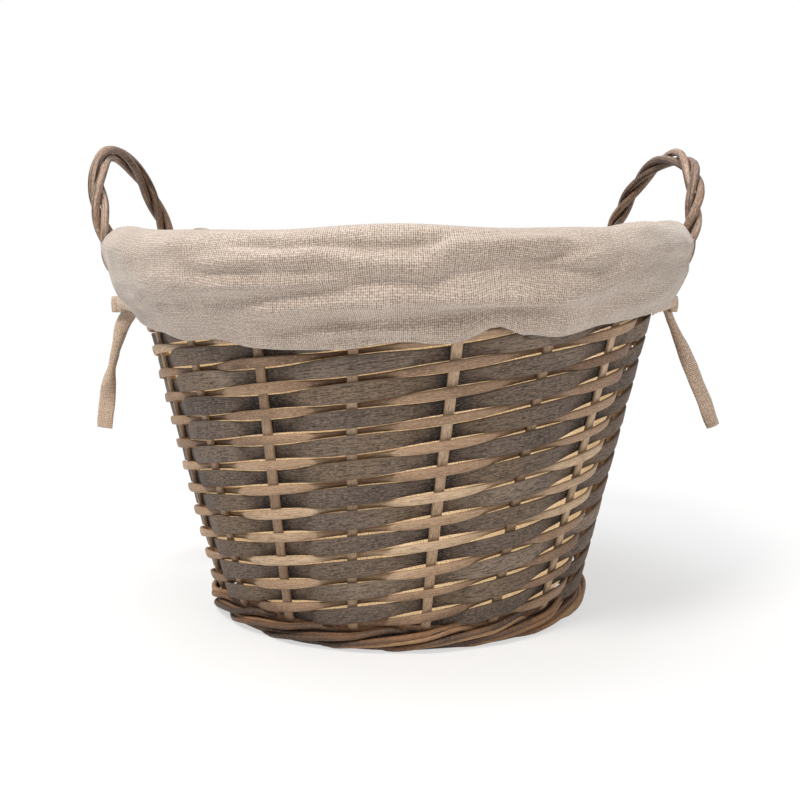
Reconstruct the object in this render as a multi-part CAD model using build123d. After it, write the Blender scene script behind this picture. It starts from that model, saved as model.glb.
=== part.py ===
"""Round willow laundry basket with a linen liner.

Eighteen split-willow stakes stand in a slath base and carry a French-randed side: nine wide grey strips and
nine narrow natural rods, each started behind its own stake and wound up to the right, in front of one stake
and behind the next. A three-rod wale binds the foot and a thicker one the rim. Two handles of three twisted
rods hook under the rim. A linen bag lines the inside and folds out over the rim as two skirts, which are
tied together under each handle.

Millimetres. The origin is the middle of the footprint on the floor, +Z is up, the front is -Y, and the
handles are on +X and -X.
"""

import os
from math import atan2, ceil, cos, degrees, hypot, pi, radians, sin, sqrt, tan

from build123d import *

# Overall sizes
HEIGHT = 262.0  # floor to the top of the rim wale
BASE_RADIUS = 128.0  # stakes' centre line at the floor
RIM_RADIUS = 188.0  # stakes' centre line at the top
STAKES = 18
STAKE_LEAN = 5.3  # degrees that a stake leans round the basket from floor to rim
CLEARANCE = 0.3  # between willow pieces that bear on each other

# Stakes
STAKE_WIDTH = 6.5
STAKE_THICKNESS = 2.8
TONGUE_LENGTH = 30.0  # foot of the stake, turned in over the base
BEND_CHAMFER = 2.5
TIP_MARGIN = 1.3  # the turned-in top stops this far before the liner

# Randed side
LEVEL_STEP = 8.1  # rise of a weaver from one stake to the next
FIRST_LEVEL = 16.6  # height of a weaver's first tip, behind its own stake
STROKES = 26  # stakes that a weaver passes
TIP_HEIGHT = 2.4
FOOT_TIP_LIFT = 1.5  # the tips at the foot are pushed up this much, clear of the turned-in stakes
RIM_TIP_LIFT = 1.2  # the tips at the rim are pushed down this much
TIP_TAIL = 0.22  # how far a tip runs past its stake, in stake spacings
GREY_THICKNESS = 1.8
GREY_FRONT = 12.0  # strip height where it passes in front of a stake
GREY_BEHIND = 9.0
NATURAL_THICKNESS = 2.6
NATURAL_FRONT = 6.6
NATURAL_BEHIND = 3.8

# Foot and rim wales
FOOT_ROD = 5.6  # rod diameter
RIM_ROD = 6.6
FLAT_DEPTH = 0.5  # worn flat where the foot wale stands on the floor
WALE_END_GAP = 0.06  # half the gap between a rod's two ends, in stake spacings

# Base
STICK_DIAMETER = 5.5
STICK_PITCH = 6.4  # spacing of the sticks where they cross
THREADED_THICKNESS = 2.4  # threaded sticks, pared flat where they pass through the slits
SLIT_CLEARANCE = 0.2
BASE_STRIP_WIDTH = 9.0
BASE_STRIP_THICKNESS = 2.0
BASE_STRIP_PITCH = 9.6
FAN_RADIUS = 36.0  # from here out, the sticks run straight at the stakes
BASE_WEAVE_START = 43.0  # radius of the first row

# Handles
STRAND_DIAMETER = 5.2
STRAND_LAY = 53.0  # length of rope for one turn of the strands
HANDLE_RISE = 66.0  # loop above the rim
HANDLE_LEAN = 16.0  # degrees that the loop leans outwards
HOOK_DROP = 25.4  # from the rim down to where the rope ends pass in under the rim wale
HOOK_RADIUS = 10.0
HOOK_END = -4.4  # the rope ends stop this far from the stakes' cone, inside it
RIGHT_LEGS = (-0.83, 1.45)  # handle legs, in stake spacings round from +X at the rim
LEFT_LEGS = (7.57, 9.62)
STRANDS = 3
TIP_TAPER = 0.3  # how much thinner the strands are at their tips
STATIONS_PER_TURN = 8

# Linen liner
CLOTH = 1.2
LINER_GAP = 0.4  # between the cloth and the willow inside it
RIM_TOP_GAP = 0.8  # between the folded cloth and the top of the rim
SKIRT_DROP = 66.0  # rim to the hem
SKIRT_BULGE = 22.0  # how far the fold stands out from the stakes' cone
HEM_STAND = 8.6  # hem's outer face from the stakes' cone
END_LIFT = 15.0  # how far the ties draw the ends of the hem up
HEM_WAVE = 3.0
FOLD_DEPTH = 1.5
SKIRT_SPANS = 16
LINER_SIDES = 48
FRONT_SKIRT = (-73.0, 72.0)  # degrees from the front, seen from above, left negative
BACK_SKIRT = (127.0, 238.5)

# Ties
TIE_WIDTH = 10.0
TIE_THICKNESS = 1.0
TIE_LAP = 4.0  # degrees of a tie sewn under its skirt's end
TIE_DROP = 46.0  # from the rim down to the middle of the tied ribbons
TIE_STAND = 6.4  # ribbon's middle from the stakes' cone, where it is sewn on
KNOT_STAND = 20.0  # the same at the knot
KNOT_SHARE = 0.34  # where the knot is, from the front skirt's end to the back skirt's end
KNOT_WIDTH = 12.0
KNOT_HEIGHT = 12.5
KNOT_DEPTH = 7.0
TAIL_DROP = 92.0
TAIL_SWING = 72.0  # how far the end of a tail hangs out from the side
BACK_TAIL_SHARE = 0.8  # the back tie's tail against the front one's
TAIL_SPANS = 8
STRAP_SPANS = 6
TAIL_SPREAD = 3.5  # degrees between the two tails

HOOK_HEIGHT = HEIGHT - HOOK_DROP
TIE_HEIGHT = HEIGHT - TIE_DROP
SLOPE = atan2(RIM_RADIUS - BASE_RADIUS, HEIGHT)
STEP_ANGLE = 360 / STAKES
HEX = 6
FLATNESS = 1e-8
HEX_FLAT = cos(pi / HEX)  # half a hexagon's width over its flats, for a corner radius of 1


def cone_radius(z):
    """Radius of the stakes' centre line at height z."""
    return BASE_RADIUS + (RIM_RADIUS - BASE_RADIUS) * z / HEIGHT


def on_side(u, z, out=0.0):
    """Point on the basket's side at stake position u and height z, standing out from the stakes' cone."""
    angle = radians(STEP_ANGLE * u + STAKE_LEAN * (z / HEIGHT - 0.5))
    r = cone_radius(z) + out * cos(SLOPE)
    return Vector(r * cos(angle), r * sin(angle), z - out * sin(SLOPE))


def flat_faces(points):
    """One face over a ring of points when it is flat, or else a fan of triangles."""
    first, second, third = points[:3]
    normal = (second - first).cross(third - first).normalized()
    if all(abs((p - first).dot(normal)) < FLATNESS for p in points[3:]):
        return [Face(Wire.make_polygon(points, close=True))]
    return [Face(Wire.make_polygon([first, a, b], close=True)) for a, b in zip(points[1:], points[2:])]


def skin(sections, closed=False):
    """Solid with flat sides from each section, a ring of points, to the next. A closed one joins up round."""
    count = len(sections[0])
    faces = []
    follow = [*sections[1:], sections[0]] if closed else sections[1:]
    for here, there in zip(sections, follow):
        for k in range(count):
            n = (k + 1) % count
            faces += flat_faces([here[k], here[n], there[n], there[k]])
    if not closed:
        faces += flat_faces(sections[0]) + flat_faces(sections[-1])
    return Solid(Shell(faces))


def side_section(u, z, out, height, thickness):
    """Rectangle across a strip that runs round the side, flat on the slope of the basket."""
    rise = height / 2 * cos(SLOPE)
    half = thickness / 2
    corners = ((-rise, -half), (-rise, half), (rise, half), (rise, -half))
    return [on_side(u, z + dz, out + dn) for dz, dn in corners]


def ring_section(centre, along, up, radius, sides=HEX):
    """Regular polygon square to a rod, with one corner towards up."""
    side = along.cross(up).normalized()
    top = side.cross(along).normalized()
    turns = [2 * pi * k / sides for k in range(sides)]
    return [centre + (top * cos(a) + side * sin(a)) * radius for a in turns]


def rod(points, radius, up, sides=HEX):
    """Rod of polygon section along a row of points. radius is one value, or one for each point."""
    radii = radius if isinstance(radius, list) else [radius] * len(points)
    before = [points[0], *points[:-1]]
    after = [*points[1:], points[-1]]
    runs = [(b - a).normalized() for a, b in zip(before, after)]
    return skin([ring_section(p, t, up, r, sides) for p, t, r in zip(points, runs, radii)])


def seat_slope(offset, z, share):
    """Extra stand-off that keeps a piece clear of a stake's edges as it swings offset to the other side."""
    run = radians(STEP_ANGLE) * cone_radius(z) * share
    return offset / run * STAKE_WIDTH / 2


# Randed side


def weaver_offset(thickness, side):
    """Weaver's centre from the stakes' centre, where the weaver seats in front (1) or behind (-1)."""
    bare = (STAKE_THICKNESS + thickness) / 2 + CLEARANCE
    swing = seat_slope(2 * bare, FIRST_LEVEL, 1)
    wrap = tan(radians(STEP_ANGLE / 2)) * STAKE_WIDTH / 2
    return side * (bare + max(0, swing + side * wrap))


def weaver(first, thickness, front, behind):
    """One weaver, tucked behind stake number first and wound up and round to the right."""
    last = first + STROKES

    def section(u, n, side, height):
        z = FIRST_LEVEL + LEVEL_STEP * n
        return side_section(u, z, weaver_offset(thickness, side), height, thickness)

    start = FOOT_TIP_LIFT / LEVEL_STEP
    end = STROKES - RIM_TIP_LIFT / LEVEL_STEP
    sections = [section(first - TIP_TAIL, start, -1, TIP_HEIGHT), section(first, start, -1, TIP_HEIGHT)]
    for n in range(1, STROKES):
        in_front = n % 2 == 1
        sections.append(section(first + n, n, 1 if in_front else -1, front if in_front else behind))
    sections.append(section(last, end, -1, TIP_HEIGHT))
    sections.append(section(last + TIP_TAIL, end, -1, TIP_HEIGHT))
    return skin(sections)


# Wales


def wale_offset(diameter, z):
    """Wale rod's centre from the stakes' centre. The rods turn a flat of their section to the stakes."""
    bare = STAKE_THICKNESS / 2 + HEX_FLAT * diameter / 2 + CLEARANCE
    wrap = tan(radians(STEP_ANGLE / 4)) * STAKE_WIDTH / 2
    return bare + seat_slope(bare, z, 0.5) + wrap


def wale_reach(diameter, z):
    """How far a wale stands out from the stakes' cone."""
    return wale_offset(diameter, z) + HEX_FLAT * diameter / 2


def wale_lay(diameter):
    """Height from one rod of a wale to the next."""
    return diameter + CLEARANCE


def wale_climb(diameter, z):
    """How far a wale rod rises over a stake's width, where it crosses behind."""
    return 2 * seat_slope(wale_lay(diameter), z, 0.5)


def wale_rod(first, diameter, middle):
    """One rod of a three-rod wale: behind stake number first, in front of two, and so on round."""
    offset = wale_offset(diameter, middle)
    lay = wale_lay(diameter)
    # Stand-off and height over each half stake spacing:
    # behind, out low, front low, front, front high, in high.
    cycle = [(-offset, 0), (0, -lay), (offset, -lay / 2), (offset, 0), (offset, lay / 2), (0, lay)]
    halves = 2 * STAKES
    points = []
    for n in range(halves + 1):
        out, rise = cycle[n % len(cycle)]
        shift = WALE_END_GAP * ((n == 0) - (n == halves))
        points.append(on_side(first + n / 2 + shift, middle + rise, out))
    return rod(points, diameter / 2, Vector(0, 0, 1))


FOOT_MIDDLE = wale_lay(FOOT_ROD) + FOOT_ROD / 2 - FLAT_DEPTH
RIM_MIDDLE = HEIGHT - wale_lay(RIM_ROD) - RIM_ROD / 2


def foot_wale_rod(first):
    """Foot wale rod, worn flat on the floor."""
    below = Pos(0, 0, -FOOT_ROD) * Box(4 * BASE_RADIUS, 4 * BASE_RADIUS, 2 * FOOT_ROD)
    return wale_rod(first, FOOT_ROD, FOOT_MIDDLE) - below


# Base and stakes

# The sticks are level with the wale behind the stakes.
STICK_TOP = FOOT_MIDDLE + FOOT_ROD / 2 + wale_climb(FOOT_ROD, FOOT_MIDDLE)
STICK_MIDDLE = STICK_TOP - STICK_DIAMETER / 2
TONGUE_MIDDLE = STICK_TOP + CLEARANCE + STAKE_THICKNESS / 2
TONGUE_TOP = TONGUE_MIDDLE + STAKE_THICKNESS / 2
FOOT_INSIDE = cone_radius(FOOT_MIDDLE) - wale_reach(FOOT_ROD, FOOT_MIDDLE)
STICK_REACH = FOOT_INSIDE - 2 * CLEARANCE
TONGUE_TIP = cone_radius(TONGUE_MIDDLE) - TONGUE_LENGTH
LINER_REACH = wale_reach(RIM_ROD, RIM_MIDDLE) + LINER_GAP  # cloth's outer face, inside the stakes' cone


def stake(number):
    """Split-willow stake: a foot turned in over the base, a leaning upright, a top turned in over the rim."""
    bearing = RIM_MIDDLE + RIM_ROD / 2 + wale_climb(RIM_ROD, RIM_MIDDLE)
    hook_z = bearing + CLEARANCE + STAKE_THICKNESS / 2
    tip_out = TIP_MARGIN - LINER_REACH
    route = [
        on_side(number, TONGUE_MIDDLE, TONGUE_TIP - cone_radius(TONGUE_MIDDLE)),
        on_side(number, TONGUE_MIDDLE, -BEND_CHAMFER),
        on_side(number, TONGUE_MIDDLE + BEND_CHAMFER),
        on_side(number, HEIGHT / 2),
        on_side(number, hook_z - BEND_CHAMFER),
        on_side(number, hook_z, -BEND_CHAMFER),
        on_side(number, hook_z, tip_out),
    ]
    route[0].Z = TONGUE_MIDDLE
    route[1].Z = TONGUE_MIDDLE
    before = [route[0], *route[:-1]]
    after = [*route[1:], route[-1]]
    sections = []
    for a, p, b in zip(before, route, after):
        angle = atan2(p.Y, p.X)
        across = Vector(-sin(angle), cos(angle), 0)
        run = (b - a).normalized()
        face = run.cross(across).normalized()
        half_width = across * (STAKE_WIDTH / 2)
        half_thick = face * (STAKE_THICKNESS / 2)
        corners = ((-1, -1), (1, -1), (1, 1), (-1, 1))
        sections.append([p + half_width * a + half_thick * b for a, b in corners])
    return skin(sections)


def base_stick(offset, ray, turn):
    """Base stick: straight where the sticks cross, then fanned out. turn is its group's direction."""
    half = [Vector(r * cos(ray), r * sin(ray), STICK_MIDDLE) for r in (STICK_REACH, FAN_RADIUS)]
    half.append(Vector(3 * STICK_PITCH, offset, STICK_MIDDLE))
    points = [*half, *[Vector(-p.X, p.Y, p.Z) for p in reversed(half)]]
    return Rot(0, 0, turn) * rod(points, STICK_DIAMETER / 2, Vector(0, 0, 1))


PIERCED = 5
THREADED = STAKES // 2 - PIERCED
BASE_TURN = -STAKE_LEAN / 2  # the sticks point at the stakes' feet


def fan(count, turn):
    """A group of base sticks that lie side by side and fan out to neighbouring stakes."""
    places = [k - (count - 1) / 2 for k in range(count)]
    return [base_stick(p * STICK_PITCH, radians(p * STEP_ANGLE), turn) for p in places]


def pierced_sticks():
    """Sticks slit through the middle, which the other group is pushed through."""
    width = THREADED * STICK_PITCH
    slit = Box(width, PIERCED * STICK_PITCH, THREADED_THICKNESS + 2 * SLIT_CLEARANCE)
    cutter = Rot(0, 0, BASE_TURN) * Pos(0, 0, STICK_MIDDLE) * slit
    return [stick - cutter for stick in fan(PIERCED, BASE_TURN)]


def threaded_sticks():
    """Sticks pared flat in the middle, to pass through the slits."""
    pared_width = PIERCED * STICK_PITCH + STICK_DIAMETER
    pared_depth = THREADED * STICK_PITCH + STICK_DIAMETER
    pared = Box(pared_width, pared_depth, STICK_DIAMETER)
    lift = (THREADED_THICKNESS + STICK_DIAMETER) / 2
    turn = BASE_TURN + 90
    cutters = [Rot(0, 0, turn) * Pos(0, 0, STICK_MIDDLE + s * lift) * pared for s in (-1, 1)]
    return [stick - cutters for stick in fan(THREADED, turn)]


def strip_stand(r, on_tongue):
    """Base strip's centre from what it bears on, so that it clears the edges as it swings over and under."""
    steep = (TONGUE_TOP - STICK_MIDDLE) * (STAKE_WIDTH if on_tongue else STICK_DIAMETER / 2)
    return BASE_STRIP_THICKNESS / 2 + CLEARANCE + steep / (radians(STEP_ANGLE) * r)


def base_strip(first):
    """Flat strip wound out from the middle of the base, over one stick and under the next."""
    reach = FOOT_INSIDE - BASE_STRIP_WIDTH / 2 - 2 * CLEARANCE
    growth = 2 * BASE_STRIP_PITCH / STAKES
    start = BASE_WEAVE_START + BASE_STRIP_PITCH * first
    sections = []
    for n in range(int((reach - start) / growth)):
        r = start + growth * n
        angle = radians(STEP_ANGLE * n + BASE_TURN)
        over = (n + first) % 2 == 0
        on_tongue = r + BASE_STRIP_WIDTH / 2 + CLEARANCE > TONGUE_TIP
        bearing = (TONGUE_TOP if on_tongue else STICK_TOP) if over else 2 * STICK_MIDDLE - STICK_TOP
        z = bearing + strip_stand(r, on_tongue) * (1 if over else -1)
        half_width, half_thick = BASE_STRIP_WIDTH / 2, BASE_STRIP_THICKNESS / 2
        corners = ((-1, -1), (1, -1), (1, 1), (-1, 1))
        ring = [(r + a * half_width, z + b * half_thick) for a, b in corners]
        sections.append([Vector(x * cos(angle), x * sin(angle), h) for x, h in ring])
    return skin(sections)


# Handles

STRAND_OFFSET = STRAND_DIAMETER / sqrt(3) + 2 * CLEARANCE
ROPE_RADIUS = STRAND_OFFSET + STRAND_DIAMETER / 2
LEG_OUT = wale_reach(RIM_ROD, RIM_MIDDLE) + 2 * CLEARANCE + ROPE_RADIUS


def leg_points(u):
    """Rope's centre up one leg: in under the rim wale, round its outside and up to the start of the loop."""
    points = [on_side(u, HOOK_HEIGHT, HOOK_END), on_side(u, HOOK_HEIGHT, LEG_OUT - HOOK_RADIUS)]
    for turn in (30, 60, 90):
        a = radians(turn)
        z = HOOK_HEIGHT + HOOK_RADIUS * (1 - cos(a))
        points.append(on_side(u, z, LEG_OUT - HOOK_RADIUS * (1 - sin(a))))
    points.append(on_side(u, HEIGHT, LEG_OUT))
    return points


def handle_line(legs):
    """Rope's centre line, from the hooked end of one leg over the loop to the other."""
    first, second = leg_points(legs[0]), leg_points(legs[1])
    start, end = first[-1], second[-1]
    middle, half = (start + end) * 0.5, (end - start) * 0.5
    outward = Vector(middle.X, middle.Y, 0).normalized()
    lean = radians(HANDLE_LEAN)
    rise = (outward * sin(lean) + Vector(0, 0, cos(lean))) * (HANDLE_RISE / cos(lean))
    spans = 24
    loop = [middle - half * cos(pi * k / spans) + rise * sin(pi * k / spans) for k in range(1, spans)]
    return [*first, *loop, *reversed(second)]


def along_line(points, distance):
    """Point at a distance along a row of points, or beyond its ends."""
    for a, b in zip(points, points[1:]):
        run = (b - a).length
        if distance <= run:
            break
        distance -= run
    else:
        distance += run
    return a + (b - a) * (distance / run)


def handle_strand(legs, number):
    """One of the rods that are twisted into a handle."""
    line = handle_line(legs)
    length = sum((b - a).length for a, b in zip(line, line[1:]))
    step = STRAND_LAY / STATIONS_PER_TURN
    hook = 3 * HOOK_RADIUS
    count = ceil((length - 2 * hook) / step)
    close = [step / 2 * k for k in range(int(2 * hook / step))]
    wide = [hook + (length - 2 * hook) * k / count for k in range(count + 1)]
    stations = [*close, *wide, *[length - s for s in reversed(close)]]
    chord = (line[-1] - line[0]).normalized()
    plane = chord.cross(Vector(0, 0, 1)).normalized()
    points, radii = [], []
    for s in stations:
        radii.append(STRAND_DIAMETER / 2 * (1 - TIP_TAPER * max(0, 1 - min(s, length - s) / hook)))
        centre = along_line(line, s)
        run = along_line(line, s + STRAND_OFFSET) - along_line(line, s - STRAND_OFFSET)
        side = run.cross(plane).normalized()
        top = side.cross(run).normalized()
        turn = 2 * pi * (s / STRAND_LAY + number / STRANDS)
        points.append(centre + (top * cos(turn) + side * sin(turn)) * STRAND_OFFSET)
    return rod(points, radii, plane)


# Liner

BASE_TOP = TONGUE_TOP + strip_stand(TONGUE_TIP - BASE_STRIP_WIDTH / 2, True) + BASE_STRIP_THICKNESS / 2
LINER_FLOOR = BASE_TOP + LINER_GAP
WALL_TOP = HEIGHT - 6.0


def round_panel(radius, z):
    """Ring of points round the basket."""
    turns = [2 * pi * k / LINER_SIDES for k in range(LINER_SIDES)]
    return [Vector(radius * cos(a), radius * sin(a), z) for a in turns]


def liner_base():
    """Round floor panel of the bag."""
    radius = cone_radius(LINER_FLOOR) - (LINER_REACH + CLOTH) / cos(SLOPE) - LINER_GAP / 2
    return skin([round_panel(radius, LINER_FLOOR), round_panel(radius, LINER_FLOOR + CLOTH)])


def liner_wall():
    """Tapered side panel of the bag."""
    outer = [(cone_radius(z) - LINER_REACH / cos(SLOPE), z) for z in (LINER_FLOOR, WALL_TOP)]
    inner = [(r - CLOTH / cos(SLOPE), z) for r, z in reversed(outer)]
    rings = [round_panel(r, z) for r, z in outer + inner]
    return skin([list(section) for section in zip(*rings)], closed=True)


def skirt_profile(share, angle):
    """Outer face of a skirt as distances from the axis and heights, from the inside of the rim to the hem."""
    lift = END_LIFT * abs(share) ** 6
    wave = HEM_WAVE * cos(radians(3 * angle + 40)) + FOLD_DEPTH * cos(radians(7 * angle))
    hem = HEIGHT - SKIRT_DROP + lift + wave * (1 - share**6)
    fold = FOLD_DEPTH * cos(radians(5 * angle))
    over = wale_reach(RIM_ROD, RIM_MIDDLE) + LINER_GAP + CLOTH
    top = HEIGHT + RIM_TOP_GAP + CLOTH
    stand = [
        (-over, WALL_TOP + 2 * LINER_GAP),
        (1.5 - over, top - 1.0),
        (0.0, top + 0.6),
        (over - 2.0, top - 0.4),
        (over + 0.65 * (SKIRT_BULGE - over), HEIGHT - 7.0),
        (SKIRT_BULGE + fold, HEIGHT - 22.0),
        ((SKIRT_BULGE + HEM_STAND) / 2 + 1.5, (HEIGHT - 22.0 + hem) / 2 - 3.0),
        (HEM_STAND, hem),
    ]
    return [(cone_radius(z) + out, z) for out, z in stand]


def inset(profile, thickness):
    """The same row of points, moved to the right of its direction by a thickness."""
    before = [profile[0], *profile[:-1]]
    after = [*profile[1:], profile[-1]]
    moved = []
    for (ar, az), (r, z), (br, bz) in zip(before, profile, after):
        run = hypot(br - ar, bz - az)
        moved.append((r + (bz - az) / run * thickness, z - (br - ar) / run * thickness))
    return moved


def skirt(ends):
    """Flap of cloth folded out over the rim, from one handle to the other."""
    sections = []
    for k in range(SKIRT_SPANS + 1):
        share = 2 * k / SKIRT_SPANS - 1
        from_front = ends[0] + (ends[1] - ends[0]) * (share + 1) / 2
        angle = radians(from_front - 90)
        outer = skirt_profile(share, from_front)
        loop = [*outer, *reversed(inset(outer, CLOTH))]
        sections.append([Vector(r * cos(angle), r * sin(angle), z) for r, z in loop])
    return skin(sections)


# Ties


def ribbon(points, faces):
    """Flat ribbon along a row of points. faces gives the direction that its flat side faces at each point."""
    before = [points[0], *points[:-1]]
    after = [*points[1:], points[-1]]
    sections = []
    for a, p, b, face in zip(before, points, after, faces):
        run = (b - a).normalized()
        across = run.cross(face).normalized()
        flat = across.cross(run).normalized()
        w, t = across * (TIE_WIDTH / 2), flat * (TIE_THICKNESS / 2)
        sections.append([p - w - t, p + w - t, p + w + t, p - w + t])
    return skin(sections)


def tie_point(angle, z, out):
    """Point at an angle round from +X, standing straight out from the stakes' cone."""
    r = cone_radius(z) + out
    return Vector(r * cos(radians(angle)), r * sin(radians(angle)), z)


def facing(angle):
    return Vector(cos(radians(angle)), sin(radians(angle)), 0)


def tie_strap(start, end, knot_out):
    """Ribbon along the side of the basket, from under a skirt's end out to the knot."""
    points, faces = [], []
    for k in range(STRAP_SPANS + 1):
        t = k / STRAP_SPANS
        angle = start + (end - start) * t
        points.append(tie_point(angle, TIE_HEIGHT, TIE_STAND + (knot_out - TIE_STAND) * t**2.5))
        faces.append(facing(angle) - Vector(0, 0, tan(SLOPE)))
    return ribbon(points, faces)


def tie_tail(angle, turn, out, share):
    """Free end of a tie, hanging from the knot, swung out from the side and turned to the front."""
    points, faces = [], []
    for k in range(TAIL_SPANS + 1):
        t = k / TAIL_SPANS
        hang = out + (TAIL_SWING - out) * share * t**1.2
        points.append(tie_point(angle, TIE_HEIGHT - TAIL_DROP * share * t, hang))
        faces.append(facing(angle + turn * t))
    return ribbon(points, faces)


def ties(front_end, back_end):
    """The front and the back tie at one handle. The back one runs under the knot of the front one."""
    way = 1 if back_end > front_end else -1
    knot = front_end + (back_end - front_end) * KNOT_SHARE
    rise = TIE_THICKNESS + LINER_GAP + KNOT_DEPTH / 2
    lump = Rot(0, degrees(SLOPE), 0) * Box(KNOT_DEPTH, KNOT_WIDTH, KNOT_HEIGHT)
    front_out = KNOT_STAND + rise
    seat = tie_point(knot, TIE_HEIGHT, front_out)
    front = tie_strap(front_end - TIE_LAP * way, knot - way, front_out) + Pos(seat) * Rot(0, 0, knot) * lump
    drop = knot + 0.6 * way
    front += tie_tail(drop, -(90 + drop) if way > 0 else 270 - drop, front_out, 1)
    fall = knot + TAIL_SPREAD * way
    back = tie_strap(back_end + TIE_LAP * way, fall, KNOT_STAND)
    back += tie_tail(fall, 0, KNOT_STAND, BACK_TAIL_SHARE)
    return front, back


def main():
    os.makedirs("parts", exist_ok=True)
    nodes = {}
    for i in range(STAKES):
        nodes[f"stake_{i + 1:02d}"] = [stake(i)]
    for k in range(STAKES // 2):
        nodes[f"grey_weaver_{k + 1:02d}"] = [weaver(2 * k, GREY_THICKNESS, GREY_FRONT, GREY_BEHIND)]
        nodes[f"natural_weaver_{k + 1:02d}"] = [
            weaver(2 * k + 1, NATURAL_THICKNESS, NATURAL_FRONT, NATURAL_BEHIND)
        ]
    for j in range(3):
        nodes[f"foot_wale_rod_{j + 1}"] = [foot_wale_rod(j)]
        nodes[f"rim_wale_rod_{j + 1}"] = [wale_rod(j, RIM_ROD, RIM_MIDDLE)]
    nodes["base_sticks_pierced"] = pierced_sticks()
    nodes["base_sticks_threaded"] = threaded_sticks()
    for j in range(2):
        nodes[f"base_strip_{j + 1}"] = [base_strip(j)]
    for side, legs in (("right", RIGHT_LEGS), ("left", LEFT_LEGS)):
        for j in range(STRANDS):
            nodes[f"{side}_handle_strand_{j + 1}"] = [handle_strand(legs, j)]
    nodes["liner_base"] = [liner_base()]
    nodes["liner_wall"] = [liner_wall()]
    nodes["liner_front_skirt"] = [skirt(FRONT_SKIRT)]
    nodes["liner_back_skirt"] = [skirt(BACK_SKIRT)]
    slits = {
        "right": (FRONT_SKIRT[1] - 90, BACK_SKIRT[0] - 90),
        "left": (FRONT_SKIRT[0] + 270, BACK_SKIRT[1] - 90),
    }
    for side, ends in slits.items():
        front, back = ties(*ends)
        nodes[f"{side}_front_tie"] = [front]
        nodes[f"{side}_back_tie"] = [back]
    for name, solids in nodes.items():
        shape = solids[0] if len(solids) == 1 else Compound(children=solids)
        export_step(shape, f"parts/{name}.step")


main()
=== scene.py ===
# %% [markdown]
# # A woven laundry basket with a linen liner
# The basket is a tapered round one of split willow: flat stakes stand up from a slath base, grey strips
# and natural rods climb round them, and thicker rods bind the foot and the rim. Two twisted ears carry
# it, and a linen bag hangs inside with its mouth folded out over the rim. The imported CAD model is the
# frame that every piece here is fitted to, in metres, with Z up and the front towards -Y.

# %% Load the frame
import math
import bmesh
import bpy
from mathutils import Matrix, Vector, noise


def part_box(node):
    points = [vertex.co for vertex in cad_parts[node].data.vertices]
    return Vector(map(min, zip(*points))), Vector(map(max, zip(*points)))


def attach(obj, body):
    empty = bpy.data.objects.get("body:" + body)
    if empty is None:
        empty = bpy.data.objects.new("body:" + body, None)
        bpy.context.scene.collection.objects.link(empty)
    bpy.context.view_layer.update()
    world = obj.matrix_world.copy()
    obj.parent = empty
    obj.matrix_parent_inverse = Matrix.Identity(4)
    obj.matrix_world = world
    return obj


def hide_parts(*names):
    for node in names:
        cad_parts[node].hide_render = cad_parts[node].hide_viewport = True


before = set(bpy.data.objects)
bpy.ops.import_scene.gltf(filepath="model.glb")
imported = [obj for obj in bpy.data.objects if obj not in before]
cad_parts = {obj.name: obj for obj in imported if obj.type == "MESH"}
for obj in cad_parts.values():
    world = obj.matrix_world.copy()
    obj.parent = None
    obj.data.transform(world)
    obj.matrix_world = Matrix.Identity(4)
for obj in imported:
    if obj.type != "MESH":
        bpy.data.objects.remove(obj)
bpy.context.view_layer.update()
print("CAD nodes:", len(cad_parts))

# %% [markdown]
# ## The shape of the side
# Every woven piece lies on one cone. A place on it is given by u, the number of stake spacings round from
# +X, by the height z, and by how far out it stands from the middle of the stakes. The stakes lean a
# little round the basket, so the same lean is put into that one rule, and every piece follows it.

# %% The cone that the stakes stand on
HEIGHT = 0.262
BASE_RADIUS = 0.128
RIM_RADIUS = 0.188
STAKES = 18
STAKE_LEAN = 5.3
STEP_ANGLE = 360 / STAKES
SLOPE = math.atan2(RIM_RADIUS - BASE_RADIUS, HEIGHT)
CLEARANCE = 0.0003


def cone_radius(z):
    return BASE_RADIUS + (RIM_RADIUS - BASE_RADIUS) * z / HEIGHT


def on_side(u, z, out=0.0):
    """Place on the side: stake spacings round from +X, height, and distance out from the stakes' middle."""
    angle = math.radians(STEP_ANGLE * u + STAKE_LEAN * (z / HEIGHT - 0.5))
    radius = cone_radius(z) + out * math.cos(SLOPE)
    return Vector((radius * math.cos(angle), radius * math.sin(angle), z - out * math.sin(SLOPE)))


# The noise is zero at whole numbers and seldom comes near 1, so it is read off the grid and made larger.
NOISE_GAIN = 1.6
NOISE_ROW = 0.37
NOISE_LAYER = 0.53
SEED_STEP = 7.31


def drift(seed, place, size):
    """Unevenness of a natural thing: it changes smoothly with place, and is the same on every run."""
    return size * NOISE_GAIN * noise.noise(Vector((place, SEED_STEP * seed + NOISE_ROW, NOISE_LAYER)))


print("side slopes by", round(math.degrees(SLOPE), 1), "degrees")

# %% [markdown]
# ## Willow stock
# A weaver starts with straight stock and bends it into the work. The same is done here: a straight bar is
# spun along X from a ring, it gets its grain coordinates while it is straight, and then each point is
# carried to its place. The grain is a UV map in metres, along and round the rod, so fibres run along
# every bend. A second attribute, tone, tells the finish how light or dark this rod is at that point.

# %% Straight stock, and bending it
GRAIN_SHIFT = 0.731
OWN_TONE_PLACE = 3.7
TONE_WAVES = 9
TONE_WAVE_SHARE = 0.7
MIDDLE_TONE = 0.5


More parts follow.
